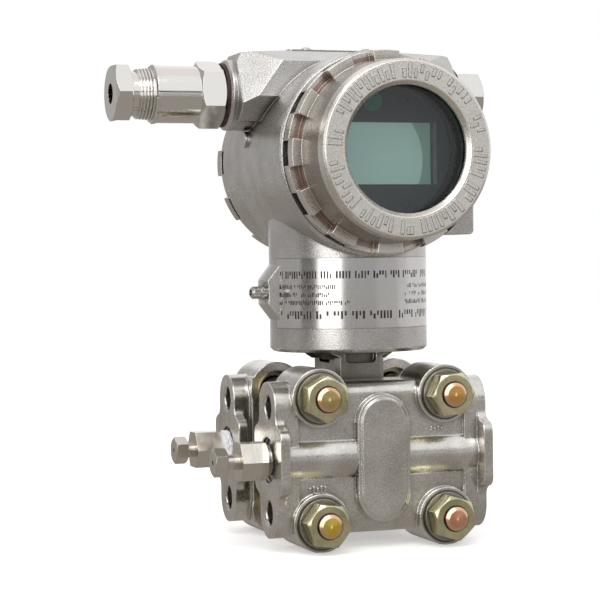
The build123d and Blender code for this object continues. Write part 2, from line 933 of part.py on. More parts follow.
def lcd_space(start, end):
    return box_between(
        (-display_window_width / 2, display_window_width / 2),
        (-end, -start),
        (lcd_z - display_window_height / 2, lcd_z + display_window_height / 2),
    )


def lcd():
    return lcd_space(display_floor, display_floor + lcd_thickness)


def display_keys():
    return [
        ring(key_bore_radius, key_radius, display_face, display_face + key_rise,
             (key_x, 0, barrel_height + z), front)
        for z in (-key_drop, key_drop)
    ]


def sticker():
    return rod(sticker_radius, display_face, display_face + sticker_thickness,
               (sticker_x, 0, barrel_height + sticker_height), front)


def terminal_places():
    first = -terminal_pitch * (terminal_screws_across - 1) / 2
    return [(first + terminal_pitch * index, barrel_height - terminal_row_drop)
            for index in range(terminal_screws_across)]


def terminal_block():
    """Moulded D-shaped block with a fin on each side of every screw."""
    body = rod(terminal_radius, terminal_start, terminal_face, barrel_middle, rear)
    body &= box_between((-terminal_radius, terminal_radius), (terminal_start, terminal_face),
                        (barrel_height - terminal_radius, barrel_height + terminal_top))
    first = -terminal_pitch * terminal_screws_across / 2
    for index in range(terminal_screws_across + 1):
        x = first + terminal_pitch * index
        body += box_between((x - terminal_fin / 2, x + terminal_fin / 2),
                            (terminal_start, terminal_face + terminal_fin_rise),
                            (barrel_height - terminal_fin_drop,
                             barrel_height + terminal_top - terminal_fin_step))
    for x, z in terminal_places():
        body -= rod(terminal_screw_radius + running_gap, terminal_face - terminal_screw_depth,
                    terminal_face + past, (x, 0, z), rear)
    return body - rod(feedthrough_radius + free_gap, terminal_start - past,
                      terminal_start + feedthrough_length, (0, 0, barrel_height - feedthrough_drop), rear)


def terminal_screws():
    head = terminal_face + terminal_head_height
    screws = []
    for x, z in terminal_places():
        screw = rod(terminal_screw_radius, terminal_face - terminal_screw_depth, terminal_face,
                    (x, 0, z), rear)
        screw += rod(terminal_head_radius, terminal_face, head, (x, 0, z), rear)
        slot = Box(2 * terminal_head_radius, 2 * screw_slot_depth, screw_slot_width)
        screws.append(screw - Pos(x, head, z) * slot)
    return screws


def feedthrough():
    """Sealed pin carrier in the wall between the two compartments."""
    return rod(feedthrough_radius, chamber_wall_rear - feedthrough_length + free_gap,
               chamber_wall_front + feedthrough_stick_out, (0, 0, barrel_height - feedthrough_drop), front)


def gland_body():
    at = conduit_middle
    body = hexagon(gland_hex, gasket_end, gland_hex_end, at, left, turn=-gland_vertex_turn)
    body += rod(conduit_bore_radius - running_gap, conduit_boss_half - gland_inner_length, gasket_end,
                at, left)
    body += turned(
        [
            (gland_hex_end, 0),
            (gland_hex_end, gland_barrel_radius),
            (gland_barrel_end - gland_rim_width, gland_barrel_radius),
            (gland_barrel_end - gland_rim_width, gland_rim_radius),
            (gland_barrel_end - gland_barrel_edge, gland_rim_radius),
            (gland_barrel_end, gland_rim_radius - gland_barrel_edge),
            (gland_barrel_end, 0),
        ],
        at,
        left,
    )
    body -= rod(gland_bore_radius, conduit_boss_half - gland_inner_length - past, gland_barrel_end, at, left)
    return body - rod(gland_thread_radius + running_gap, gland_socket_floor, gland_barrel_end + past, at, left)


def gland_cap():
    """Compression nut: its thread runs into the gland and squeezes the seal on the cable."""
    at = conduit_middle
    body = hexagon(gland_cap_hex, cap_start, cap_end, at, left, turn=gland_cap_turn)
    neck_start = cap_start - gland_cap_neck_length
    body += rod(gland_thread_radius, cable_seal_end + free_gap, neck_start, at, left)
    body += rod(gland_cap_neck_radius, neck_start, cap_start, at, left)
    return body - rod(cable_hole_radius, gland_hex_end, cap_end + past, at, left)


def cable_seal():
    at = conduit_middle
    return ring(cable_hole_radius, gland_thread_radius, gland_socket_floor, cable_seal_end, at, left)


def gasket(along, radius):
    return ring(conduit_bore_radius, radius, conduit_boss_half, gasket_end, conduit_middle, along)


def conduit_plug():
    at = conduit_middle
    body = hexagon(plug_hex, gasket_end, gasket_end + plug_hex_length, at, right, side=front)
    return body + rod(conduit_bore_radius - running_gap, conduit_boss_half - gland_inner_length, gasket_end,
                      at, right)


def tag_plate():
    """Swinging plate over the two buttons: pivot hole on the left, curved open slot on the right."""
    outline = Pos(0, tag_y) * RectangleRounded(tag_width, tag_depth, tag_corner)
    pivot = Pos(-tag_screw_x, tag_y)
    outline -= pivot * Circle(tag_screw_radius + running_gap)
    slot = tag_screw_radius + free_gap
    arc = Circle(2 * tag_screw_x + slot) - Circle(2 * tag_screw_x - slot)
    arc &= Pos(tag_width / 2, tag_depth / 2) * Rectangle(tag_width, tag_depth)
    outline -= pivot * arc
    outline -= Pos(tag_screw_x, tag_y) * Circle(slot)
    return Pos(0, 0, tag_bottom) * extrude(outline, tag_thickness)


def tag_screws():
    outline = [
        (seat_height - tag_shank_length, 0),
        (seat_height - tag_shank_length, tag_screw_radius),
        (tag_head, tag_screw_radius),
        (tag_head, tag_head_radius),
        (tag_head + tag_dome_side, tag_head_radius),
        (tag_head + tag_head_height, tag_dome_radius),
        (tag_head + tag_head_height, 0),
    ]
    return [turned(outline, (x, tag_y, 0)) for x in (-tag_screw_x, tag_screw_x)]


def button(x):
    return turned(
        [
            (button_bottom, 0),
            (button_bottom, button_radius),
            (button_top - button_edge, button_radius),
            (button_top, button_radius - button_edge),
            (button_top, 0),
        ],
        (x, tag_y, 0),
    )


def earth_screw():
    """Cylinder-head screw with a rounded top, over a flat washer and a spring washer."""
    base = earth_head_base
    end = base + earth_head_height
    body = turned(
        [
            (neck_radius, 0),
            (neck_radius, earth_screw_radius),
            (base, earth_screw_radius),
            (base, earth_head_radius),
            (end - earth_head_edge, earth_head_radius),
            (end, earth_head_radius - earth_head_edge),
            (end, 0),
        ],
        (0, 0, earth_boss_height),
        earth_way,
    )
    return body - hexagon(socket_hex, end - socket_depth, end + past, (0, 0, earth_boss_height), earth_way,
                          crown=(False, False))


def earth_washers():
    middle = earth_seat + earth_spring_height
    bore = earth_screw_radius + running_gap
    at = (0, 0, earth_boss_height)
    return [
        ring(bore, earth_spring_radius, earth_seat, middle, at, earth_way),
        ring(bore, earth_washer_radius, middle, earth_head_base, at, earth_way),
    ]


def swivel_screw():
    """Set screw from the rear of the neck into the spigot's groove: it holds the head on."""
    at = (0, 0, swivel_screw_height)
    end = neck_radius - screw_recess
    body = rod(swivel_screw_radius, spigot_radius - swivel_groove_depth + free_gap, end, at, rear)
    return body - hexagon(socket_hex, end - socket_depth, end + past, at, rear, crown=(False, False))


def lock_screw(rim):
    """Set screw that comes up through the lug's nose and presses on the cover's band."""
    at = lock_screw_place(rim)
    body = rod(lock_screw_radius, screw_recess, screw_recess + lock_screw_length, at)
    return body - hexagon(lock_socket_hex, screw_recess - past, screw_recess + socket_depth, at,
                          side=right, crown=(False, False))


def save(name, shape):
    """Write one piece, moved so that the right-hand process face lies at the row's origin."""
    solids = shape if isinstance(shape, list) else shape.solids()
    moved = [Pos(-flange_half_length, 0, 0) * solid for solid in solids]
    whole = moved[0] if len(moved) == 1 else Compound(children=moved)
    export_step(whole, f"parts/{name}.step")


def main():
    os.makedirs("parts", exist_ok=True)
    front_flange = flange()
    save("flange_front", front_flange)
    save("flange_rear", mirror(front_flange, about=Plane.XZ))
    save("flange_bolts", [bolt(x, z) for x, z in bolt_places()])
    save("flange_nuts", [nut(x, z, turn) for (x, z), turn in zip(bolt_places(), nut_turns)])
    save("flange_washers", washers())
    save("sensor_cell", sensor_cell())
    save("sensing_capsule", capsule())
    save("isolating_diaphragms", diaphragms())
    save("process_seals", process_seals())
    for which in ("front", "rear"):
        save(f"vent_body_{which}", vent_body(which))
        save(f"vent_screw_{which}", vent_screw(which))
    save("vent_seal_tape", vent_tape())
    save("housing", housing())
    save("swivel_lock_screw", swivel_screw())
    rear_lock_screw = mirror(lock_screw(barrel_rear), about=Plane.XZ)
    save("cover_lock_screws", [lock_screw(barrel_front), rear_lock_screw])
    save("earth_screw", earth_screw())
    save("earth_washer", earth_washers())
    save("front_cover", front_cover())
    save("front_cover_seal", cover_seal(front_seam, front))
    save("window_gasket", window_gasket())
    save("window_glass", window_glass())
    save("glass_retainer", glass_retainer())
    save("rear_cover", rear_cover())
    save("rear_cover_seal", cover_seal(rear_seam, rear))
    save("board_posts", posts(chamber_wall_front, board_back))
    save("electronics_board", board())
    save("display_posts", posts(board_front, display_inside))
    save("display_case", display_case())
    save("lcd_panel", lcd())
    save("display_keys", display_keys())
    save("inspection_dot", sticker())
    save("wall_feedthrough", feedthrough())
    save("terminal_block", terminal_block())
    save("terminal_screws", terminal_screws())
    save("gland_gasket", gasket(left, gasket_radius))
    save("gland_body", gland_body())
    save("cable_seal", cable_seal())
    save("gland_cap", gland_cap())
    save("plug_gasket", gasket(right, plug_gasket_radius))
    save("conduit_plug", conduit_plug())
    save("tag_plate", tag_plate())
    save("tag_screws", tag_screws())
    save("zero_button", button(-button_x))
    save("span_button", button(button_x))


main()
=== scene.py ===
import bmesh
import bpy
from math import cos, pi, radians, sin
from mathutils import Matrix, Vector
from random import seed, uniform


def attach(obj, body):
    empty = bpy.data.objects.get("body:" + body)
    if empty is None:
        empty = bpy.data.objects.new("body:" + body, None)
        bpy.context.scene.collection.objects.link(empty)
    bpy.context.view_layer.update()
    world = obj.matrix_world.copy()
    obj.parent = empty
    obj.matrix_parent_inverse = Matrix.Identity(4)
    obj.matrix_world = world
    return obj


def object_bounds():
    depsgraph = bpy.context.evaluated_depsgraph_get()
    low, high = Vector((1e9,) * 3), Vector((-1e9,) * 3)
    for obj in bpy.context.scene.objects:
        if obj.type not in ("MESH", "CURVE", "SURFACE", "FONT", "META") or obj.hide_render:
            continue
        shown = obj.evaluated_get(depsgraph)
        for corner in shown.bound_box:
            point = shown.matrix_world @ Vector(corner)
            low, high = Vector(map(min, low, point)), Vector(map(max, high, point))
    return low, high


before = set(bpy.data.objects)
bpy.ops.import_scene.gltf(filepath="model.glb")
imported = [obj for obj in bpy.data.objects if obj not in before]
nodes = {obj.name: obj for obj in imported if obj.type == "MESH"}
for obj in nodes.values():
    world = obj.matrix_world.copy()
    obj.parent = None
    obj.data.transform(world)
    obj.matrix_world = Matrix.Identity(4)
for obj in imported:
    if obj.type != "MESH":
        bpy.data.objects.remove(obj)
cad_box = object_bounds()

# Camera: a long lens a little below the roof of the head, turned to see the left-hand flange ends.
# The view was fitted to the photograph together with the sizes of the solids.
picture_width = 600
focal_pixels = 1900.0
sensor_mm = 36.0
camera_place = Vector((-0.31804, -0.73106, 0.07899))
camera_yaw = radians(19.08)
camera_pitch = radians(1.28)
camera_roll = radians(-0.82)
ahead = Vector((
    sin(camera_yaw) * cos(camera_pitch),
    cos(camera_yaw) * cos(camera_pitch),
    -sin(camera_pitch),
))
level = ahead.cross(Vector((0, 0, 1))).normalized()
above = level.cross(ahead)
across = level * cos(camera_roll) + above * sin(camera_roll)
upright = above * cos(camera_roll) - level * sin(camera_roll)
camera_data = bpy.data.cameras.new("camera")
camera_data.sensor_width = sensor_mm
camera_data.lens = sensor_mm * focal_pixels / picture_width
camera_data.clip_start = 0.01
camera = bpy.data.objects.new("camera", camera_data)
camera_turn = Matrix((across, upright, -ahead)).transposed().to_4x4()
camera.matrix_world = Matrix.Translation(camera_place) @ camera_turn
bpy.context.scene.collection.objects.link(camera)
bpy.context.scene.camera = camera
bpy.context.scene.view_settings.view_transform = "Standard"

# Floor and background: a plain pale sheet under the four lowest bosses and a white surround, which
# metal and glass reflect as the camera sees them.
floor_half = 3.0
floor_color = (0.86, 0.86, 0.85, 1)
floor_lift = 0.42
surround = 0.85
facing_up = ((-1, -1), (1, -1), (1, 1), (-1, 1))
facing_down = ((-1, -1), (-1, 1), (1, 1), (1, -1))
low, high = cad_box
middle = (Vector(low) + Vector(high)) / 2


def light_path_mask(tree):
    """1 for rays from the camera and those that metal or glass sends on, 0 for the rest."""
    path = tree.nodes.new("ShaderNodeLightPath")
    first = tree.nodes.new("ShaderNodeMath")
    first.operation = "ADD"
    second = tree.nodes.new("ShaderNodeMath")
    second.operation = "ADD"
    second.use_clamp = True
    tree.links.new(path.outputs["Is Camera Ray"], first.inputs[0])
    tree.links.new(path.outputs["Is Glossy Ray"], first.inputs[1])
    tree.links.new(first.outputs[0], second.inputs[0])
    tree.links.new(path.outputs["Is Transmission Ray"], second.inputs[1])
    return second.outputs[0]


def sheet_mesh(name, corners):
    """Flat sheet with the given corners."""
    mesh = bpy.data.meshes.new(name)
    mesh.from_pydata(corners, [], [tuple(range(len(corners)))])
    piece = bpy.data.objects.new(name, mesh)
    bpy.context.scene.collection.objects.link(piece)
    return piece


floor = sheet_mesh("floor", [(x * floor_half, y * floor_half, low[2]) for x, y in facing_up])
floor_paint = bpy.data.materials.new("floor paper")
floor_paint.use_nodes = True
floor_tree = floor_paint.node_tree
floor_shader = floor_tree.nodes["Principled BSDF"]
floor_shader.inputs["Base Color"].default_value = floor_color
floor_shader.inputs["Roughness"].default_value = 0.9
floor_shader.inputs["Specular IOR Level"].default_value = 0.1
floor_shader.inputs["Emission Color"].default_value = (1, 1, 1, 1)
floor_glow = floor_tree.nodes.new("ShaderNodeMath")
floor_glow.operation = "MULTIPLY"
floor_glow.inputs[1].default_value = floor_lift
floor_tree.links.new(light_path_mask(floor_tree), floor_glow.inputs[0])
floor_tree.links.new(floor_glow.outputs[0], floor_shader.inputs["Emission Strength"])
floor.data.materials.append(floor_paint)

world = bpy.data.worlds.new("surround")
bpy.context.scene.world = world
world.use_nodes = True
world_strength = world.node_tree.nodes.new("ShaderNodeMapRange")
world_strength.inputs["To Min"].default_value = surround
world_strength.inputs["To Max"].default_value = 1.0
world.node_tree.links.new(light_path_mask(world.node_tree), world_strength.inputs["Value"])
backdrop = world.node_tree.nodes["Background"]
backdrop.inputs["Color"].default_value = (1, 1, 1, 1)
world.node_tree.links.new(world_strength.outputs["Result"], backdrop.inputs["Strength"])

# Studio: two soft boxes and the grey and black cards that give polished metal its dark lines. Each is
# placed by its bearing from the object, where 0 degrees is the display's side and + is to the right.
studio_distance = 1.3
card_steps = 12
floor_card_half, floor_card_lift = 1.15, 0.0004
ceiling_half, ceiling_back, ceiling_height = 0.5, 0.25, 1.25


def bearing(turn, rise, distance=studio_distance):
    """Point at a bearing and a rise, in degrees, seen from the middle of the object."""
    turn, rise = radians(turn), radians(rise)
    return middle + distance * Vector((sin(turn) * cos(rise), -cos(turn) * cos(rise), sin(rise)))


def soft_box(name, turn, rise, width, height, radiance, color=(1, 1, 1)):
    """Rectangular lamp that looks at the object."""
    lamp = bpy.data.lights.new(name, "AREA")
    lamp.shape = "RECTANGLE"
    lamp.size = width
    lamp.size_y = height
    lamp.energy = pi * width * height * radiance
    lamp.color = color
    place = bpy.data.objects.new(name, lamp)
    place.location = bearing(turn, rise)
    place.rotation_euler = (middle - place.location).to_track_quat("-Z", "Y").to_euler()
    bpy.context.scene.collection.objects.link(place)


def glow_for_reflections(piece, radiance, color):
    """Make a stage piece an even glow that only glossy rays see."""
    paint = bpy.data.materials.new(piece.name)
    paint.use_nodes = True
    shader = paint.node_tree.nodes["Principled BSDF"]
    shader.inputs["Base Color"].default_value = (0, 0, 0, 1)
    shader.inputs["Specular IOR Level"].default_value = 0.0
    shader.inputs["Emission Color"].default_value = (*color, 1)
    shader.inputs["Emission Strength"].default_value = radiance
    piece.data.materials.append(paint)
    piece.visible_camera = False
    piece.visible_shadow = False
    piece.visible_diffuse = False


def card(name, turns, rises, radiance, color=(1, 1, 1), distance=studio_distance):
    """Curved card between two bearings, seen only by reflections."""
    start, stop = turns
    points = [bearing(start + (stop - start) * step / card_steps, rise, distance)
              for rise in rises for step in range(card_steps + 1)]
    faces = [(i, i + 1, card_steps + 2 + i, card_steps + 1 + i) for i in range(card_steps)]
    mesh = bpy.data.meshes.new(name)
    mesh.from_pydata(points, [], faces)
    piece = bpy.data.objects.new(name, mesh)
    bpy.context.scene.collection.objects.link(piece)
    glow_for_reflections(piece, radiance, color)


soft_box("key_box", -46, 14, 0.8, 1.0, 1.7, (1.0, 0.99, 0.97))
soft_box("top_box", -20, 50, 1.0, 0.6, 2.5)
card("front_card", (-27, 22), (-9, 14), 0.38, (1.0, 0.97, 0.94), 1.25)
card("dark_line", (-24, 75), (9.2, 12.2), 0.015, (1, 1, 1), 1.2)
card("glass_card", (-24, 75), (-0.5, 9.2), 0.55, (0.97, 0.98, 1.0), 1.2)
card("left_line", (-93, -66), (-6, 60), 0.14)
card("left_card", (-178, -94), (-6, 50), 0.45, (1.0, 0.98, 0.96))
card("right_card", (22, 58), (-6, 12), 0.60, (1.0, 0.98, 0.96), 1.26)
card("far_card", (58, 140), (-6, 60), 0.85)
floor_card = sheet_mesh("floor_card", [
    (x * floor_card_half, y * floor_card_half, low[2] + floor_card_lift) for x, y in facing_up
])
glow_for_reflections(floor_card, 0.34, (1.0, 0.93, 0.85))
ceiling_card = sheet_mesh("ceiling_card", [
    (middle.x + x * ceiling_half, middle.y + ceiling_back + y * ceiling_half, ceiling_height)
    for x, y in facing_down
])
glow_for_reflections(ceiling_card, 0.95, (1.0, 0.96, 0.96))


# Process flanges: two tumbled stainless castings clamp the sensing cell; edges: wear plus painted highlight.
# Small raised foundry marks stand beside the rib.
swivel_x = -0.0444


def material(name, color=(0.8, 0.8, 0.8), metallic=0.0, roughness=0.5):
    """New material; returns it with its tree and its Principled shader."""
    made = bpy.data.materials.new(name)
    made.use_nodes = True
    shader = made.node_tree.nodes["Principled BSDF"]
    shader.inputs["Base Color"].default_value = (*color, 1)
    shader.inputs["Metallic"].default_value = metallic
    shader.inputs["Roughness"].default_value = roughness
    return made, made.node_tree, shader


def shader_group(name, inputs, outputs):
    """Empty node group with named sockets; returns it with its input and output nodes."""
    tree = bpy.data.node_groups.new(name, "ShaderNodeTree")
    for label, kind, value in inputs:
        tree.interface.new_socket(name=label, in_out="INPUT", socket_type=kind).default_value = value
    for label, kind in outputs:
        tree.interface.new_socket(name=label, in_out="OUTPUT", socket_type=kind)
    return tree, tree.nodes.new("NodeGroupInput"), tree.nodes.new("NodeGroupOutput")


def math_node(tree, operation, first, second=None, clamp=False):
    """One operation on sockets or numbers."""
    node = tree.nodes.new("ShaderNodeMath")
    node.operation = operation
    node.use_clamp = clamp
    for socket, value in zip(node.inputs, (first, second)):
        if isinstance(value, (int, float)):
            socket.default_value = value
        elif value is not None:
            tree.links.new(value, socket)
    return node.outputs[0]


def product(tree, first, *others):
    """Values multiplied one after another."""
    for value in others:
        first = math_node(tree, "MULTIPLY", first, value)
    return first


def reach_from_axis(tree, first, second):
    """Distance from an axis, from the offsets along two directions."""
    return math_node(tree, "SQRT", math_node(
        tree, "ADD", product(tree, first, first), product(tree, second, second)))


def object_place(tree):
    """Object coordinates, as one vector and as the node that splits them."""
    where = tree.nodes.new("ShaderNodeTexCoord").outputs["Object"]
    parts = tree.nodes.new("ShaderNodeSeparateXYZ")
    tree.links.new(where, parts.inputs[0])
    return where, parts


def mix_colors(tree, share, first, second):
    """From the first colour to the second, by a share from 0 to 1."""
    node = tree.nodes.new("ShaderNodeMix")
    node.data_type = "RGBA"
    for label, value in (("Factor", share), ("A", first), ("B", second)):
        socket = node.inputs[label]
        if isinstance(value, (int, float)):
            socket.default_value = value
        elif isinstance(value, tuple):
            socket.default_value = (*value, 1)
        else:
            tree.links.new(value, socket)
    return next(s for s in node.outputs if s.type == "RGBA")


def noise(tree, where, scale, detail=2.0, roughness=0.5):
    """Cloudy values round 0.5."""
    node = tree.nodes.new("ShaderNodeTexNoise")
    node.inputs["Detail"].default_value = detail
    node.inputs["Roughness"].default_value = roughness
    if isinstance(scale, (int, float)):
        node.inputs["Scale"].default_value = scale
    else:
        tree.links.new(scale, node.inputs["Scale"])
    tree.links.new(where, node.inputs["Vector"])
    return node.outputs["Fac"]


def spread(tree, value, low_in, high_in, low_out=0.0, high_out=1.0):
    """Value carried from one range to another, and held at its ends."""
    node = tree.nodes.new("ShaderNodeMapRange")
    tree.links.new(value, node.inputs["Value"])
    limits = {"From Min": low_in, "From Max": high_in, "To Min": low_out, "To Max": high_out}
    for label, number in limits.items():
        if isinstance(number, (int, float)):
            node.inputs[label].default_value = number
        else:
            tree.links.new(number, node.inputs[label])
    return node.outputs["Result"]


pit_color = (0.10, 0.09, 0.08)
painted_glint_color = (0.95, 0.94, 0.92)
crevice_shade_color = (0.055, 0.048, 0.04)
rubbed_and_highlight_color = (0.95, 0.93, 0.90)
crevice_shade_reach = 0.0045
cast_skin, skin_in, skin_out = shader_group("cast skin", [
    ("Metal", "NodeSocketColor", (0.6, 0.58, 0.55, 1)),
    ("Stain", "NodeSocketColor", (0.5, 0.47, 0.43, 1)),
    ("Grain Scale", "NodeSocketFloat", 1800.0),
    ("Grain Depth", "NodeSocketFloat", 0.00004),
    ("Edge Radius", "NodeSocketFloat", 0.0006),
    ("Edge Shine", "NodeSocketFloat", 0.5),
    ("Smooth", "NodeSocketFloat", 0.34),
    ("Rough", "NodeSocketFloat", 0.46),
    ("Pits", "NodeSocketFloat", 0.10),
    ("Crevice", "NodeSocketFloat", 0.8),
], [("Color", "NodeSocketColor"), ("Roughness", "NodeSocketFloat"), ("Normal", "NodeSocketVector")])
skin_where = cast_skin.nodes.new("ShaderNodeTexCoord").outputs["Object"]
grain = noise(cast_skin, skin_where, skin_in.outputs["Grain Scale"], 3.0, 0.6)
cloud = noise(cast_skin, skin_where, 70.0, 3.0, 0.55)
# Edges: the bevel rounds their normals, and their colour is lifted towards a light tone, partly wear and
# partly painted highlight.
rounded = cast_skin.nodes.new("ShaderNodeBevel")
rounded.samples = 6
cast_skin.links.new(skin_in.outputs["Edge Radius"], rounded.inputs["Radius"])
facing = cast_skin.nodes.new("ShaderNodeVectorMath")
facing.operation = "DOT_PRODUCT"
cast_skin.links.new(rounded.outputs["Normal"], facing.inputs[0])
cast_skin.links.new(cast_skin.nodes.new("ShaderNodeNewGeometry").outputs["Normal"], facing.inputs[1])
edge = math_node(
    cast_skin, "MULTIPLY", math_node(cast_skin, "SUBTRACT", 1.0, facing.outputs["Value"]), 6.0, True)
shine = product(cast_skin, edge, skin_in.outputs["Edge Shine"])
stained = mix_colors(
    cast_skin, spread(cast_skin, cloud, 0.35, 0.7), skin_in.outputs["Metal"], skin_in.outputs["Stain"])
pits = product(cast_skin, spread(cast_skin, grain, 0.52, 0.38), skin_in.outputs["Pits"])
pitted = mix_colors(cast_skin, pits, stained, pit_color)
# Painted highlight: bright glints painted on the grain's high spots, scaled by the same input as the dark
# pits.
painted_glints = product(cast_skin, spread(cast_skin, grain, 0.58, 0.78), skin_in.outputs["Pits"])
with_painted_glints = mix_colors(cast_skin, painted_glints, pitted, painted_glint_color)
# Painted shade: the colour is darkened where ambient occlusion finds nearby surfaces, in crevices and between
# parts.
shelter = cast_skin.nodes.new("ShaderNodeAmbientOcclusion")
shelter.samples = 6
shelter.inputs["Distance"].default_value = crevice_shade_reach
crevice_shade = product(cast_skin, spread(cast_skin, shelter.outputs["AO"], 0.85, 0.30), skin_in.outputs["Crevice"])
shaded = mix_colors(cast_skin, crevice_shade, with_painted_glints, crevice_shade_color)
bright = mix_colors(cast_skin, shine, shaded, rubbed_and_highlight_color)
cast_skin.links.new(bright, skin_out.inputs["Color"])
matt = spread(cast_skin, grain, 0.3, 0.7, skin_in.outputs["Smooth"], skin_in.outputs["Rough"])
cast_skin.links.new(math_node(cast_skin, "SUBTRACT", matt, product(cast_skin, shine, 0.15)),
                    skin_out.inputs["Roughness"])
bumps = cast_skin.nodes.new("ShaderNodeBump")
bumps.inputs["Strength"].default_value = 1.0
cast_skin.links.new(skin_in.outputs["Grain Depth"], bumps.inputs["Distance"])
cast_skin.links.new(grain, bumps.inputs["Height"])
cast_skin.links.new(rounded.outputs["Normal"], bumps.inputs["Normal"])
cast_skin.links.new(bumps.outputs["Normal"], skin_out.inputs["Normal"])


def use_group(tree, group, values):
    """Node that runs a shader group on named values."""
    node = tree.nodes.new("ShaderNodeGroup")
    node.node_tree = group
    for label, value in values.items():
        if isinstance(value, tuple):
            node.inputs[label].default_value = (*value, 1)
        elif isinstance(value, (int, float)):
            node.inputs[label].default_value = value
        else:
            tree.links.new(value, node.inputs[label])
    return node


def cast_metal(name, **values):
    """Cast or blasted stainless steel: grain, faint staining, painted glints, painted crevice shade, edge
    wear and painted highlight.
    """
    made, tree, shader = material(name, metallic=1.0)
    skin = use_group(tree, cast_skin, {label.replace("_", " "): value for label, value in values.items()})
    tree.links.new(skin.outputs["Color"], shader.inputs["Base Color"])
    tree.links.new(skin.outputs["Roughness"], shader.inputs["Roughness"])
    tree.links.new(skin.outputs["Normal"], shader.inputs["Normal"])
    return made


def paint(names, finish):
    """Give CAD pieces one material."""
    for name in names:
        piece = nodes[name]
        if not piece.data.materials:
            piece.data.materials.append(finish)
        for slot in piece.material_slots:
            slot.material = finish


flange_metal = cast_metal(
    "tumbled casting", Metal=(0.80, 0.78, 0.745), Stain=(0.58, 0.555, 0.515), Grain_Scale=1500.0,
    Grain_Depth=0.00005, Edge_Radius=0.0009, Edge_Shine=0.8, Smooth=0.16, Rough=0.28, Pits=0.13,
)
paint(["flange_front", "flange_rear"], flange_metal)


def finished(name, built, finish, body):
    """Scene piece from a bmesh, with its material, body and slot."""
    mesh = bpy.data.meshes.new(name)
    bmesh.ops.recalc_face_normals(built, faces=built.faces[:])
    built.to_mesh(mesh)
    built.free()
    mesh.materials.append(finish)
    piece = bpy.data.objects.new(name, mesh)
    bpy.context.scene.collection.objects.link(piece)
    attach(piece, body)


badge_face_y = 0.0357
badge_layers = (
    # how far out from the flange's face, half width, half height: a step, then the face with soft edges
    (-0.0010, 0.0109, 0.0250), (0.0029, 0.0109, 0.0250), (0.0031, 0.0107, 0.0248), (0.0031, 0.0096, 0.0237),
    (0.0034, 0.0094, 0.0235), (0.0037, 0.00925, 0.02335), (0.0038, 0.0089, 0.0230),
)
badge_steps = 24


def badge_ring(built, out, half_width, half_height, side):
    """One stadium outline, stood off from the flange's face."""
    ring = []
    for end in (1, -1):
        for step in range(badge_steps + 1):
            turn = pi * step / badge_steps
            x = half_width * cos(turn) * end
            z = (half_height - half_width + half_width * sin(turn)) * end
            ring.append(built.verts.new((swivel_x + x, side * (badge_face_y + out), z)))
    return ring


for which, side in (("front", -1), ("rear", 1)):
    badge_shape = bmesh.new()
    rings = [badge_ring(badge_shape, *layer, side) for layer in badge_layers]
    for lower, upper in zip(rings, rings[1:]):
        for i in range(len(lower)):
            j = (i + 1) % len(lower)
            badge_shape.faces.new((lower[i], lower[j], upper[j], upper[i]))
    badge_shape.faces.new(rings[0])
    badge_shape.faces.new(rings[-1])
    finished("flange_badge_" + which, badge_shape, flange_metal, "base")

mark_places = (
    # middle of each foundry mark: x from the swivel, z; then the half lengths of its bars
    (-0.0262, -0.0113, (0.0009, 0.0014, 0.0007, 0.0014, 0.0011)),
    (0.0243, 0.0103, (0.0012, 0.0007, 0.0013, 0.0010)),
)
mark_pitch, mark_width, mark_depth, mark_rise = 0.00155, 0.0008, 0.0007, 0.0001
mark_shape = bmesh.new()
for mark_x, mark_z, bars in mark_places:
    for number, half in enumerate(bars):
        x = swivel_x + mark_x + (number - len(bars) / 2) * mark_pitch
        bar_place = Matrix.Translation((x, -badge_face_y - mark_rise, mark_z))
        bar_size = Matrix.Diagonal((mark_width, mark_depth, 2 * half, 1))
        bar = bmesh.ops.create_cube(mark_shape, size=1.0, matrix=bar_place @ bar_size)
        bar_edges = list({e for v in bar["verts"] for e in v.link_edges})
        bmesh.ops.bevel(mark_shape, geom=bar_edges, offset=0.0002, segments=2, affect="EDGES", profile=0.5)
finished("foundry_marks", mark_shape, flange_metal, "base")

# Sensing cell: a welded and machined disc between the flanges, with the square stem that carries the
# head; its element, diaphragms and seals lie inside.
# Painted shade: the cell's steel is coloured dark to stand for the shade in the gap between the flanges.
shade_darkened_cell_metal = cast_metal(
    "machined cell darkened as painted shade", Metal=(0.30, 0.28, 0.25), Stain=(0.17, 0.155, 0.13), Grain_Scale=900.0,
    Grain_Depth=0.00002, Edge_Radius=0.0005, Edge_Shine=0.6, Smooth=0.28, Rough=0.40,
)
paint(["sensor_cell", "sensing_capsule", "isolating_diaphragms"], shade_darkened_cell_metal)


def soft_rubber(name, color):
    """Dull rubber or fibre, a little dusty."""
    made, tree, shader = material(name, color, 0.0, 0.55)
    where = tree.nodes.new("ShaderNodeTexCoord").outputs["Object"]
    dusty = mix_colors(tree, spread(tree, noise(tree, where, 400.0), 0.4, 0.8), color,
                       tuple(c * 1.6 + 0.01 for c in color))
    tree.links.new(dusty, shader.inputs["Base Color"])
    return made


black_rubber = soft_rubber("black rubber", (0.012, 0.012, 0.012))
paint(["process_seals"], black_rubber)

# Flange bolts: four yellow-zinc hex bolts with nuts and washers; each end shows its own warm tint.
bolt_half_x = 0.0263
bolt_half_z = 0.0244
zinc_gold = (0.62, 0.52, 0.26)
rim_pink = (0.80, 0.52, 0.36)
# Tints of the stud ends: lower left, lower right, upper left, upper right.
stud_tints = ((0.86, 0.62, 0.06), (0.82, 0.36, 0.22), (0.60, 0.46, 0.16), (0.85, 0.45, 0.10))
worn_zinc = (0.80, 0.66, 0.42)
seam_shade_color = (0.09, 0.03, 0.02)
dome_edge, rim_edge = 0.0030, 0.0040
seam_inner, seam_outer = 0.00462, 0.00485
stud_back_y, stud_front_y = -0.0415, -0.0420
half_line = 0.001

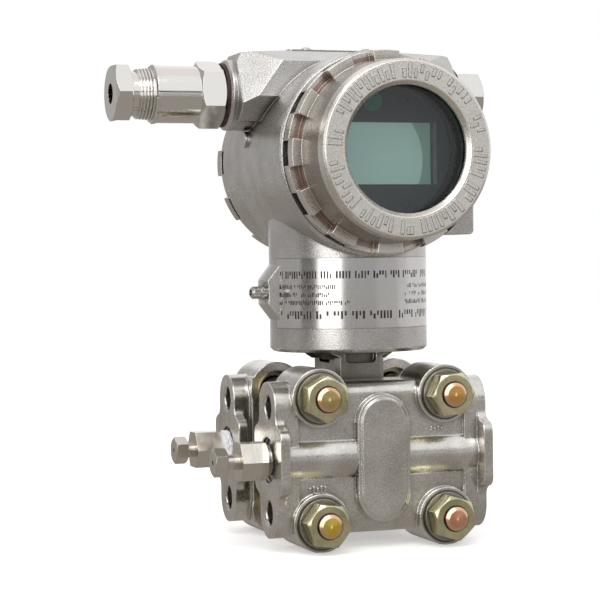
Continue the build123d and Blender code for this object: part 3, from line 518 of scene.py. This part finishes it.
zinc_metal = cast_metal(
    "yellow zinc", Metal=(0.80, 0.75, 0.50), Stain=(0.44, 0.45, 0.24), Grain_Scale=420.0, Grain_Depth=0.00003,
    Edge_Radius=0.0006, Edge_Shine=0.75, Smooth=0.12, Rough=0.24, Pits=0.06, Crevice=0.7,
)
paint(["flange_nuts"], zinc_metal)

stud_metal, stud_tree, stud_shader = material("stud ends", metallic=1.0, roughness=0.25)
stud_where, stud_parts = object_place(stud_tree)
stud_x = math_node(stud_tree, "SUBTRACT", stud_parts.outputs["X"], swivel_x)
stud_z = stud_parts.outputs["Z"]
right_half = spread(stud_tree, stud_x, -half_line, half_line)
upper_half = spread(stud_tree, stud_z, -half_line, half_line)
lower_tint = mix_colors(stud_tree, right_half, stud_tints[0], stud_tints[1])
upper_tint = mix_colors(stud_tree, right_half, stud_tints[2], stud_tints[3])
dome_tint = mix_colors(stud_tree, upper_half, lower_tint, upper_tint)
from_x = math_node(stud_tree, "SUBTRACT", math_node(stud_tree, "ABSOLUTE", stud_x), bolt_half_x)
from_z = math_node(stud_tree, "SUBTRACT", math_node(stud_tree, "ABSOLUTE", stud_z), bolt_half_z)
from_axis = reach_from_axis(stud_tree, from_x, from_z)
stud_tint = mix_colors(stud_tree, spread(stud_tree, from_axis, dome_edge, rim_edge), dome_tint, rim_pink)
worn = spread(stud_tree, noise(stud_tree, stud_where, 260.0, 2.0), 0.4, 0.75, 0.0, 0.45)
stud_tint = mix_colors(stud_tree, worn, stud_tint, worn_zinc)
# Painted shade: a dark ring where the stud meets the nut's bore, for the shade in that gap.
seam_shade = spread(stud_tree, from_axis, seam_inner, seam_outer)
stud_tint = mix_colors(stud_tree, seam_shade, stud_tint, seam_shade_color)
behind = spread(stud_tree, stud_parts.outputs["Y"], stud_front_y, stud_back_y)
stud_tint = mix_colors(stud_tree, behind, stud_tint, zinc_gold)
stud_tree.links.new(stud_tint, stud_shader.inputs["Base Color"])
paint(["flange_bolts"], stud_metal)

washer_metal = cast_metal(
    "washer steel", Metal=(0.62, 0.60, 0.55), Stain=(0.50, 0.46, 0.36), Grain_Scale=2200.0,
    Grain_Depth=0.00002, Edge_Radius=0.0003, Edge_Shine=0.5, Smooth=0.25, Rough=0.38,
)
paint(["flange_washers"], washer_metal)

# Vent valves: bright turned stainless hexagons with their screws, threaded into the left-hand ports.
turned_lines, lines_in, lines_out = shader_group("turned lines", [
    ("Along", "NodeSocketFloat", 0.0),
    ("Lines per Metre", "NodeSocketFloat", 6000.0),
    ("Depth", "NodeSocketFloat", 0.000004),
    ("Edge Radius", "NodeSocketFloat", 0.0003),
], [("Normal", "NodeSocketVector"), ("Shade", "NodeSocketFloat")])
line_noise = turned_lines.nodes.new("ShaderNodeTexNoise")
line_noise.noise_dimensions = "1D"
line_noise.inputs["Scale"].default_value = 1.0
line_noise.inputs["Detail"].default_value = 2.0
turned_lines.links.new(
    product(turned_lines, lines_in.outputs["Along"], lines_in.outputs["Lines per Metre"]),
    line_noise.inputs["W"])
line_edge = turned_lines.nodes.new("ShaderNodeBevel")
turned_lines.links.new(lines_in.outputs["Edge Radius"], line_edge.inputs["Radius"])
line_bump = turned_lines.nodes.new("ShaderNodeBump")
turned_lines.links.new(lines_in.outputs["Depth"], line_bump.inputs["Distance"])
turned_lines.links.new(line_noise.outputs["Fac"], line_bump.inputs["Height"])
turned_lines.links.new(line_edge.outputs["Normal"], line_bump.inputs["Normal"])
turned_lines.links.new(line_bump.outputs["Normal"], lines_out.inputs["Normal"])
turned_lines.links.new(line_noise.outputs["Fac"], lines_out.inputs["Shade"])


def turned_metal(name, color, shadow, smooth, rough, axis="X", depth=0.000004):
    """Turned bar: fine lines round its axis, a little lighter and darker from line to line."""
    made, tree, shader = material(name, metallic=1.0)
    where, parts = object_place(tree)
    skin = use_group(tree, turned_lines, {"Along": parts.outputs[axis], "Depth": depth})
    tint = mix_colors(tree, spread(tree, skin.outputs["Shade"], 0.35, 0.65), color, shadow)
    tree.links.new(tint, shader.inputs["Base Color"])
    cloudy = noise(tree, where, 250.0, 3.0)
    tree.links.new(spread(tree, cloudy, 0.3, 0.7, smooth, rough), shader.inputs["Roughness"])
    tree.links.new(skin.outputs["Normal"], shader.inputs["Normal"])
    return made


vent_metal = turned_metal("vent steel", (0.78, 0.75, 0.69), (0.62, 0.58, 0.52), 0.14, 0.24)
paint(["vent_body_front", "vent_body_rear", "vent_screw_front", "vent_screw_rear"], vent_metal)


def ridge_nodes():
    """Node group: ridges of a thread, one ring after another along -X, shrinking a little each time."""
    tree = bpy.data.node_groups.new("thread ridges", "GeometryNodeTree")
    tree.interface.new_socket(name="Geometry", in_out="OUTPUT", socket_type="NodeSocketGeometry")
    for label, kind in (
            ("Start", "NodeSocketVector"), ("Radius", "NodeSocketFloat"), ("Ridge", "NodeSocketFloat"),
            ("Pitch", "NodeSocketFloat"), ("Count", "NodeSocketInt"), ("Shrink", "NodeSocketFloat"),
            ("Material", "NodeSocketMaterial")):
        tree.interface.new_socket(name=label, in_out="INPUT", socket_type=kind)
    given = tree.nodes.new("NodeGroupInput")
    result = tree.nodes.new("NodeGroupOutput")
    link = tree.links.new
    step = tree.nodes.new("ShaderNodeCombineXYZ")
    back = tree.nodes.new("ShaderNodeMath")
    back.operation = "MULTIPLY"
    back.inputs[1].default_value = -1.0
    link(given.outputs["Pitch"], back.inputs[0])
    link(back.outputs[0], step.inputs["X"])
    line = tree.nodes.new("GeometryNodeMeshLine")
    link(given.outputs["Count"], line.inputs["Count"])
    link(given.outputs["Start"], line.inputs["Start Location"])
    link(step.outputs[0], line.inputs["Offset"])
    hoop = tree.nodes.new("GeometryNodeCurvePrimitiveCircle")
    hoop.inputs["Resolution"].default_value = 64
    link(given.outputs["Radius"], hoop.inputs["Radius"])
    section = tree.nodes.new("GeometryNodeCurvePrimitiveCircle")
    section.inputs["Resolution"].default_value = 6
    link(given.outputs["Ridge"], section.inputs["Radius"])
    swept = tree.nodes.new("GeometryNodeCurveToMesh")
    link(hoop.outputs["Curve"], swept.inputs["Curve"])
    link(section.outputs["Curve"], swept.inputs["Profile Curve"])
    upright_ring = tree.nodes.new("GeometryNodeTransform")
    upright_ring.inputs["Rotation"].default_value = (0, radians(90), 0)
    link(swept.outputs["Mesh"], upright_ring.inputs["Geometry"])
    place_rings = tree.nodes.new("GeometryNodeInstanceOnPoints")
    link(line.outputs["Mesh"], place_rings.inputs["Points"])
    link(upright_ring.outputs["Geometry"], place_rings.inputs["Instance"])
    index = tree.nodes.new("GeometryNodeInputIndex")
    loss = tree.nodes.new("ShaderNodeMath")
    loss.operation = "MULTIPLY"
    link(index.outputs[0], loss.inputs[0])
    link(given.outputs["Shrink"], loss.inputs[1])
    left_over = tree.nodes.new("ShaderNodeMath")
    left_over.operation = "SUBTRACT"
    left_over.inputs[0].default_value = 1.0
    link(loss.outputs[0], left_over.inputs[1])
    size = tree.nodes.new("ShaderNodeCombineXYZ")
    size.inputs["X"].default_value = 1.0
    link(left_over.outputs[0], size.inputs["Y"])
    link(left_over.outputs[0], size.inputs["Z"])
    link(size.outputs[0], place_rings.inputs["Scale"])
    real = tree.nodes.new("GeometryNodeRealizeInstances")
    link(place_rings.outputs["Instances"], real.inputs["Geometry"])
    smooth = tree.nodes.new("GeometryNodeSetShadeSmooth")
    link(real.outputs["Geometry"], smooth.inputs["Geometry"])
    coat = tree.nodes.new("GeometryNodeSetMaterial")
    link(smooth.outputs["Geometry"], coat.inputs["Geometry"])
    link(given.outputs["Material"], coat.inputs["Material"])
    link(coat.outputs["Geometry"], result.inputs["Geometry"])
    return tree


thread_ridges = ridge_nodes()


def grown(name, group, values):
    """Mesh object that a node group makes from named values; the modifier isn't kept."""
    source = bpy.data.objects.new(name + "_source", bpy.data.meshes.new(name + "_source"))
    bpy.context.scene.collection.objects.link(source)
    modifier = source.modifiers.new("nodes", "NODES")
    modifier.node_group = group
    for item in group.interface.items_tree:
        if item.item_type == "SOCKET" and item.in_out == "INPUT" and item.name in values:
            modifier[item.identifier] = values[item.name]
    source.update_tag()
    ready = source.evaluated_get(bpy.context.evaluated_depsgraph_get())
    mesh = bpy.data.meshes.new_from_object(ready)
    mesh.name = name
    bpy.data.objects.remove(source)
    piece = bpy.data.objects.new(name, mesh)
    bpy.context.scene.collection.objects.link(piece)
    return piece


port_y = 0.027
vent_thread = grown("vent_thread_front", thread_ridges, {
    "Start": (-0.0889, -port_y, 0.0), "Radius": 0.0060, "Ridge": 0.00035, "Pitch": 0.00055, "Count": 2,
    "Shrink": 0.0, "Material": vent_metal})
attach(vent_thread, "base")
for which, screw_x, screw_y in (("front", -0.1012, -port_y), ("rear", -0.1038, port_y)):
    screw_thread = grown("vent_screw_thread_" + which, thread_ridges, {
        "Start": (screw_x, screw_y, 0.0), "Radius": 0.00295, "Ridge": 0.00022, "Pitch": 0.0006, "Count": 4,
        "Shrink": 0.0, "Material": vent_metal})
    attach(screw_thread, which + "_vent_screw")

# Sealing tape on the rear valve's thread: white, a little cloudy, with wrinkled rings laid over the
# plain ring that the solids have.
tape_white, tape_tree, tape_shader = material("sealing tape", (0.9, 0.9, 0.92), 0.0, 0.45)
tape_where = tape_tree.nodes.new("ShaderNodeTexCoord").outputs["Object"]
tape_tree.links.new(mix_colors(tape_tree, noise(tape_tree, tape_where, 900.0, 4.0), (0.95, 0.95, 0.97),
                               (0.70, 0.70, 0.74)), tape_shader.inputs["Base Color"])
paint(["vent_seal_tape"], tape_white)
seed(4)
tape_start, tape_end = -0.0911, -0.0884
tape_reach, tape_crease = 0.0071, 0.0005
tape_sway = 0.00012
tape_rings, tape_spokes = 7, 56
tape_shape = bmesh.new()
tape_grid = []
for i in range(tape_rings):
    x = tape_start + (tape_end - tape_start) * i / (tape_rings - 1)
    lean = uniform(-tape_crease, tape_crease) * 0.5
    ring = []
    for k in range(tape_spokes):
        turn = 2 * pi * k / tape_spokes
        reach = tape_reach + lean * sin(2 * turn) + uniform(-tape_crease, tape_crease) * 0.8
        sway = uniform(-1, 1) * tape_sway
        ring.append(tape_shape.verts.new((x + sway, port_y + reach * cos(turn), reach * sin(turn))))
    tape_grid.append(ring)
for lower, upper in zip(tape_grid, tape_grid[1:]):
    for k in range(tape_spokes):
        j = (k + 1) % tape_spokes
        tape_shape.faces.new((lower[k], lower[j], upper[j], upper[k]))
for ring in (tape_grid[0], tape_grid[-1]):
    hub = tape_shape.verts.new((ring[0].co.x, port_y, 0.0))
    for k in range(tape_spokes):
        tape_shape.faces.new((ring[k], ring[(k + 1) % tape_spokes], hub))
finished("vent_tape_wrinkled", tape_shape, tape_white, "base")

# Head: one stainless casting, bead blasted, with a polished field round the neck. The field carries
# rows of plain dark strokes in place of print: no letters.
stroke_rows, rows_in, rows_out = shader_group("stroke rows", [
    ("Along", "NodeSocketFloat", 0.0),
    ("Across", "NodeSocketFloat", 0.0),
    ("Seed", "NodeSocketFloat", 0.0),
    ("Gap Share", "NodeSocketFloat", 0.16),
], [("Mask", "NodeSocketFloat")])


def chance(tree, cell, step, offset):
    """Random number from 0 to 1 that stays the same within one cell."""
    node = tree.nodes.new("ShaderNodeTexWhiteNoise")
    node.noise_dimensions = "1D"
    shifted = math_node(tree, "ADD", product(tree, cell, step), offset)
    tree.links.new(shifted, node.inputs["W"])
    return node.outputs["Value"]


def inside(tree, value, low_edge, high_edge, soft):
    """1 where value lies between two edges, with soft flanks."""
    rising = spread(tree, math_node(tree, "SUBTRACT", value, low_edge), -soft, soft)
    falling = spread(tree, math_node(tree, "SUBTRACT", high_edge, value), -soft, soft)
    return product(tree, rising, falling)


row_cell = math_node(stroke_rows, "FLOOR", rows_in.outputs["Along"])
row_share = math_node(stroke_rows, "FRACT", rows_in.outputs["Along"])
row_seed = rows_in.outputs["Seed"]
row_bar_half = math_node(
    stroke_rows, "ADD", product(stroke_rows, chance(stroke_rows, row_cell, 1.3, row_seed), 0.12), 0.21)
row_off = math_node(stroke_rows, "ABSOLUTE", math_node(stroke_rows, "SUBTRACT", row_share, 0.42))
row_bar = spread(stroke_rows, math_node(stroke_rows, "SUBTRACT", row_bar_half, row_off), -0.05, 0.05)
row_short = chance(stroke_rows, row_cell, 2.1, row_seed)
row_foot = product(stroke_rows, math_node(stroke_rows, "LESS_THAN", row_short, 0.28), 0.42)
row_loss = product(stroke_rows, math_node(stroke_rows, "GREATER_THAN", row_short, 0.78), 0.38)
row_head = math_node(stroke_rows, "SUBTRACT", 1.0, row_loss)
row_tall = inside(stroke_rows, rows_in.outputs["Across"], row_foot, row_head, 0.04)
row_word = math_node(stroke_rows, "GREATER_THAN", chance(stroke_rows, row_cell, 7.9, row_seed),
                     rows_in.outputs["Gap Share"])
row_frame = inside(stroke_rows, rows_in.outputs["Across"], 0.0, 1.0, 0.03)
stroke_rows.links.new(product(stroke_rows, row_bar, row_tall, row_word, row_frame), rows_out.inputs["Mask"])

neck_radius = 0.0322
field_low, field_high = 0.0508, 0.0785
field_left, field_right = radians(-84), radians(61)
border_width = 0.0003
border_turn = 0.01
turn_soft, height_soft, end_soft = 0.004, 0.0001, 0.002
field_color = (0.66, 0.645, 0.63)
border_color = (0.16, 0.14, 0.13)
ink_color = (0.035, 0.016, 0.012)
print_rows = (
    # height of the row's foot, its height, bearings of its ends, stroke pitch in metres, seed
    (0.0705, 0.0030, -82, 58, 0.00125, 3.0),
    (0.0663, 0.0018, -82, -27, 0.00085, 17.0),
    (0.0632, 0.0018, -82, -33, 0.00085, 29.0),
    (0.0600, 0.0018, -82, -19, 0.00085, 41.0),
    (0.0665, 0.0018, 24, 70, 0.00085, 53.0),
    (0.0633, 0.0018, 24, 74, 0.00085, 61.0),
    (0.0601, 0.0018, 24, 74, 0.00085, 73.0),
    (0.0545, 0.0032, -82, 58, 0.00145, 89.0),
)
housing_metal, housing_tree, housing_shader = material("blasted casting", metallic=1.0)
housing_skin = use_group(housing_tree, cast_skin, {
    "Metal": (0.68, 0.665, 0.65), "Stain": (0.54, 0.52, 0.50), "Grain Scale": 1700.0, "Grain Depth": 0.00006,
    "Edge Radius": 0.0007, "Edge Shine": 0.6, "Smooth": 0.22, "Rough": 0.36})
housing_where, housing_parts = object_place(housing_tree)
from_swivel = math_node(housing_tree, "SUBTRACT", housing_parts.outputs["X"], swivel_x)
toward = product(housing_tree, housing_parts.outputs["Y"], -1.0)
around = math_node(housing_tree, "ARCTAN2", from_swivel, toward)
upward = housing_parts.outputs["Z"]
from_neck = reach_from_axis(housing_tree, from_swivel, toward)
on_neck = math_node(housing_tree, "LESS_THAN", from_neck, neck_radius + 0.0003)
field = product(
    housing_tree, inside(housing_tree, around, field_left, field_right, turn_soft),
    inside(housing_tree, upward, field_low, field_high, height_soft), on_neck)
ink = None
for foot, tall, start, stop, pitch, row_number in print_rows:
    above_foot = math_node(housing_tree, "SUBTRACT", upward, foot)
    row = use_group(housing_tree, stroke_rows, {
        "Along": product(housing_tree, around, neck_radius / pitch),
        "Across": product(housing_tree, above_foot, 1 / tall), "Seed": row_number})
    within = inside(housing_tree, around, radians(start), radians(stop), end_soft)
    part = product(housing_tree, row.outputs["Mask"], within)
    ink = part if ink is None else math_node(housing_tree, "MAXIMUM", ink, part)
ink = product(housing_tree, ink, on_neck)
around_shelf = inside(housing_tree, around, field_left - border_turn, field_right + border_turn, turn_soft)
shelf = product(
    housing_tree, around_shelf,
    inside(housing_tree, upward, field_low - border_width, field_high + border_width, height_soft), on_neck)
border = math_node(housing_tree, "SUBTRACT", shelf, field, True)
field_tint = mix_colors(housing_tree, field, housing_skin.outputs["Color"], field_color)
lined_tint = mix_colors(housing_tree, product(housing_tree, border, 0.55), field_tint, border_color)
inked_tint = mix_colors(housing_tree, product(housing_tree, ink, 0.93), lined_tint, ink_color)
housing_tree.links.new(inked_tint, housing_shader.inputs["Base Color"])
field_rough = spread(housing_tree, noise(housing_tree, housing_where, 500.0, 2.0), 0.3, 0.7, 0.17, 0.23)
off_field = math_node(housing_tree, "SUBTRACT", 1.0, field)
rough_skin = math_node(
    housing_tree, "ADD", product(housing_tree, housing_skin.outputs["Roughness"], off_field),
    product(housing_tree, field_rough, field))
rough_print = math_node(housing_tree, "MAXIMUM", rough_skin, product(housing_tree, ink, 0.5))
housing_tree.links.new(rough_print, housing_shader.inputs["Roughness"])
flat_normal = housing_tree.nodes.new("ShaderNodeNewGeometry").outputs["Normal"]
normal_mix = housing_tree.nodes.new("ShaderNodeMix")
normal_mix.data_type = "VECTOR"
housing_tree.links.new(field, normal_mix.inputs["Factor"])
vector_inputs = [socket for socket in normal_mix.inputs if socket.type == "VECTOR" and socket.name in "AB"]
housing_tree.links.new(housing_skin.outputs["Normal"], vector_inputs[0])
housing_tree.links.new(flat_normal, vector_inputs[1])
mixed_normal = next(socket for socket in normal_mix.outputs if socket.type == "VECTOR")
housing_tree.links.new(mixed_normal, housing_shader.inputs["Normal"])
paint(["housing"], housing_metal)
screw_metal = turned_metal("small screws", (0.66, 0.65, 0.62), (0.58, 0.57, 0.54), 0.22, 0.34)
paint(["swivel_lock_screw", "cover_lock_screws", "earth_screw", "earth_washer", "tag_screws"], screw_metal)

# Inside the head: board on brass posts, the display's moulded case with its panel, keys and sticker,
# and the terminal block behind the wall.
brass = turned_metal("brass", (0.72, 0.55, 0.26), (0.62, 0.46, 0.20), 0.25, 0.35, axis="Y")
paint(["board_posts", "display_posts", "terminal_screws"], brass)


def moulded(name, color, roughness, speckle=0.1):
    """Moulded plastic with a faint speckle."""
    made, tree, shader = material(name, color, 0.0, roughness)
    where = tree.nodes.new("ShaderNodeTexCoord").outputs["Object"]
    tint = mix_colors(tree, spread(tree, noise(tree, where, 600.0, 3.0), 0.3, 0.8), color,
                      tuple(c * (1 + speckle) + 0.004 for c in color))
    tree.links.new(tint, shader.inputs["Base Color"])
    return made


paint(["electronics_board", "wall_feedthrough"], moulded("board lacquer", (0.03, 0.10, 0.05), 0.35))
paint(["terminal_block"], moulded("terminal moulding", (0.02, 0.02, 0.02), 0.5))
paint(["display_case"], moulded("display moulding", (0.040, 0.050, 0.062), 0.5))
paint(["display_keys"], moulded("key membrane", (0.03, 0.033, 0.04), 0.4))
paint(["inspection_dot"], moulded("round label", (0.04, 0.25, 0.19), 0.5))
panel, panel_tree, panel_shader = material("liquid crystal panel", (0.24, 0.36, 0.33), 0.0, 0.3)
barrel_z = 0.1194
# Painted light: a lit disc on the panel with a painted shadow of the window's ring outside it; the panel
# glows as painted light though it has no lamp.
lit_left, lit_drop = 0.0103, 0.003
lit_inner, lit_outer = 0.0248, 0.0252
painted_lit_color, ring_shadow_color = (0.27, 0.40, 0.365), (0.13, 0.215, 0.185)
panel_parts = object_place(panel_tree)[1]
panel_x = math_node(panel_tree, "SUBTRACT", panel_parts.outputs["X"], swivel_x - lit_left)
panel_z = math_node(panel_tree, "SUBTRACT", panel_parts.outputs["Z"], barrel_z - lit_drop)
panel_reach = reach_from_axis(panel_tree, panel_x, panel_z)
in_ring_shadow = spread(panel_tree, panel_reach, lit_inner, lit_outer)
panel_painted_glow = mix_colors(panel_tree, in_ring_shadow, painted_lit_color, ring_shadow_color)
panel_tree.links.new(panel_painted_glow, panel_shader.inputs["Base Color"])
panel_tree.links.new(panel_painted_glow, panel_shader.inputs["Emission Color"])
panel_shader.inputs["Emission Strength"].default_value = 0.45
paint(["lcd_panel"], panel)


# Painted highlight: a pale bar beside the panel stands for light on the case's recess edge.
display_face_y = -0.0465
highlight_bar_low = (swivel_x + 0.0181, display_face_y - 0.00012, barrel_z - 0.0126)
highlight_bar_high = (swivel_x + 0.0197, display_face_y + 0.0004, barrel_z + 0.0114)
highlight_bar_shape = bmesh.new()
bmesh.ops.create_cube(highlight_bar_shape, size=1.0)
for vertex in highlight_bar_shape.verts:
    vertex.co = Vector([highlight_bar_low[i] + (vertex.co[i] + 0.5) * (highlight_bar_high[i] - highlight_bar_low[i]) for i in range(3)])
bmesh.ops.bevel(highlight_bar_shape, geom=highlight_bar_shape.edges[:], offset=0.00005, segments=2, affect="EDGES", profile=0.5)
finished("display_painted_highlight_bar", highlight_bar_shape, moulded("painted highlight grey", (0.16, 0.175, 0.19), 0.35), "head")

# Display cover: stainless casting with a face ring round the glass, lighter partly by finish and partly as
# painted light.
rear_cover_metal = cast_metal(
    "rear cover casting", Metal=(0.66, 0.62, 0.57), Stain=(0.60, 0.56, 0.51), Grain_Scale=2400.0,
    Grain_Depth=0.00002, Edge_Radius=0.0005, Edge_Shine=0.5, Smooth=0.28, Rough=0.40,
)
paint(["rear_cover"], rear_cover_metal)
stroke_foot, stroke_tall, stroke_pitch = 0.0268, 0.0056, 0.0024
face_front_y, face_reach = -0.0676, 0.0336
skirt_reach, skirt_front_y, skirt_back_y = 0.0345, -0.0672, -0.0478
recess_reach, recess_front_y = 0.0376, -0.0470
wall_reach, wall_front_y = 0.0297, -0.0650
face_finish_and_light_color = (0.98, 0.94, 0.88)
skirt_painted_shade_color = (0.30, 0.265, 0.24)
recess_painted_shade_color = (0.34, 0.24, 0.20)
stroke_shadow_color = (0.20, 0.17, 0.14)
inner_wall_shade_color = (0.035, 0.04, 0.042)
cover_metal, cover_tree, cover_shader = material("cover casting", metallic=1.0)
cover_skin = use_group(cover_tree, cast_skin, {
    "Metal": (0.84, 0.81, 0.76), "Stain": (0.70, 0.66, 0.60), "Grain Scale": 1500.0, "Grain Depth": 0.00004,
    "Edge Radius": 0.0005, "Edge Shine": 0.7, "Smooth": 0.22, "Rough": 0.36})
cover_parts = object_place(cover_tree)[1]
cover_y = cover_parts.outputs["Y"]
cover_x = math_node(cover_tree, "SUBTRACT", cover_parts.outputs["X"], swivel_x)
cover_z = math_node(cover_tree, "SUBTRACT", cover_parts.outputs["Z"], barrel_z)
cover_reach = reach_from_axis(cover_tree, cover_x, cover_z)
cover_turn = math_node(cover_tree, "ARCTAN2", cover_x, cover_z)
stroke_rise = math_node(cover_tree, "SUBTRACT", cover_reach, stroke_foot)
face_strokes = use_group(cover_tree, stroke_rows, {
    "Along": product(cover_tree, cover_turn, (stroke_foot + stroke_tall / 2) / stroke_pitch),
    "Across": product(cover_tree, stroke_rise, 1 / stroke_tall), "Seed": 7.0, "Gap Share": 0.2})
on_face = math_node(cover_tree, "LESS_THAN", cover_y, face_front_y)
strokes = product(cover_tree, face_strokes.outputs["Mask"], on_face)
off_strokes = math_node(cover_tree, "SUBTRACT", 1.0, strokes)
# Painted shadow: a dark line round each raised stroke.
stroke_shadow_outline = math_node(cover_tree, "MULTIPLY", product(cover_tree, strokes, off_strokes), 3.2, True)
# Painted shade: the inner wall behind the glass is coloured near black.
inner_wall_shade = product(cover_tree, math_node(cover_tree, "LESS_THAN", cover_reach, wall_reach),
                     math_node(cover_tree, "GREATER_THAN", cover_y, wall_front_y))
# Face ring: lighter colour, partly its smoother finish and partly painted light.
face_mask = product(cover_tree, on_face, math_node(cover_tree, "LESS_THAN", cover_reach, face_reach))
# Painted shade: the skirt round the face is darkened.
skirt_shade_mask = product(cover_tree, math_node(cover_tree, "GREATER_THAN", cover_reach, skirt_reach),
                     inside(cover_tree, cover_y, skirt_front_y, skirt_back_y, 0.0003))
# Painted shade: the recess between the lugs is darkened towards brown.
recess_shade_mask = product(cover_tree, math_node(cover_tree, "LESS_THAN", cover_reach, recess_reach),
                      math_node(cover_tree, "GREATER_THAN", cover_y, recess_front_y))
cover_tint = cover_skin.outputs["Color"]
for mask, strength, color in (
        (face_mask, 0.6, face_finish_and_light_color), (skirt_shade_mask, 0.85, skirt_painted_shade_color), (recess_shade_mask, 0.75, recess_painted_shade_color)):
    cover_tint = mix_colors(cover_tree, product(cover_tree, mask, strength), cover_tint, color)
cover_tint = mix_colors(cover_tree, stroke_shadow_outline, cover_tint, stroke_shadow_color)
cover_tint = mix_colors(cover_tree, inner_wall_shade, cover_tint, inner_wall_shade_color)
cover_tree.links.new(cover_tint, cover_shader.inputs["Base Color"])
cover_tree.links.new(cover_skin.outputs["Roughness"], cover_shader.inputs["Roughness"])
stroke_bump = cover_tree.nodes.new("ShaderNodeBump")
stroke_bump.inputs["Distance"].default_value = 0.0005
cover_tree.links.new(strokes, stroke_bump.inputs["Height"])
cover_tree.links.new(cover_skin.outputs["Normal"], stroke_bump.inputs["Normal"])
cover_tree.links.new(stroke_bump.outputs["Normal"], cover_shader.inputs["Normal"])
paint(["front_cover"], cover_metal)
set_screw_turn, set_screw_y = radians(-68), -0.0446
set_screw_radius, set_screw_depth = 0.0011, 0.0002
band_reach = 0.0394
set_screw_place = Matrix.Translation((
    swivel_x + band_reach * cos(set_screw_turn), set_screw_y, barrel_z + band_reach * sin(set_screw_turn)))
set_screw_shape = bmesh.new()
bmesh.ops.create_cone(
    set_screw_shape, cap_ends=True, segments=24, radius1=set_screw_radius, radius2=set_screw_radius,
    depth=set_screw_depth, matrix=set_screw_place @ Matrix.Rotation(radians(90) - set_screw_turn, 4, "Y"))
finished("cover_set_screw", set_screw_shape, moulded("socket shadow", (0.008, 0.007, 0.007), 0.6),
         "display_cover")
paint(["front_cover_seal", "rear_cover_seal", "window_gasket"], black_rubber)
paint(["glass_retainer"], moulded("dark ring", (0.02, 0.022, 0.022), 0.3))
clear_glass, _, glass_shader = material("window glass", (0.92, 0.97, 0.96), 0.0, 0.02)
glass_shader.inputs["Transmission Weight"].default_value = 1.0
glass_shader.inputs["IOR"].default_value = 1.5
paint(["window_glass"], clear_glass)

# Cable gland: polished stainless, squeezed on its seal by the end nut; a dark gasket under it.
polished = turned_metal("polished bar", (0.80, 0.78, 0.75), (0.76, 0.74, 0.71), 0.07, 0.13, depth=0.000001)
paint(["gland_body", "gland_cap"], polished)
conduit_y, conduit_z = 0.010, 0.1453
gland_thread = grown("gland_thread", thread_ridges, {
    "Start": (swivel_x - 0.0802, conduit_y, conduit_z), "Radius": 0.0100, "Ridge": 0.00055, "Pitch": 0.0013,
    "Count": 5, "Shrink": 0.011, "Material": polished})
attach(gland_thread, "gland_nut")
gasket_dark = soft_rubber("fibre gasket", (0.03, 0.008, 0.008))
paint(["gland_gasket", "plug_gasket"], gasket_dark)
paint(["cable_seal"], black_rubber)

# Conduit plug on the other side.
plug_metal = turned_metal("plug steel", (0.80, 0.79, 0.77), (0.74, 0.73, 0.71), 0.18, 0.28)
paint(["conduit_plug"], plug_metal)

# Roof: tag plate over the two buttons.
tag_metal = cast_metal(
    "tag sheet", Metal=(0.60, 0.59, 0.57), Stain=(0.54, 0.53, 0.51), Grain_Scale=1200.0,
    Grain_Depth=0.00001, Edge_Radius=0.0002, Edge_Shine=0.4, Smooth=0.22, Rough=0.34,
)
paint(["tag_plate"], tag_metal)
paint(["zero_button", "span_button"], moulded("button moulding", (0.02, 0.02, 0.02), 0.4))
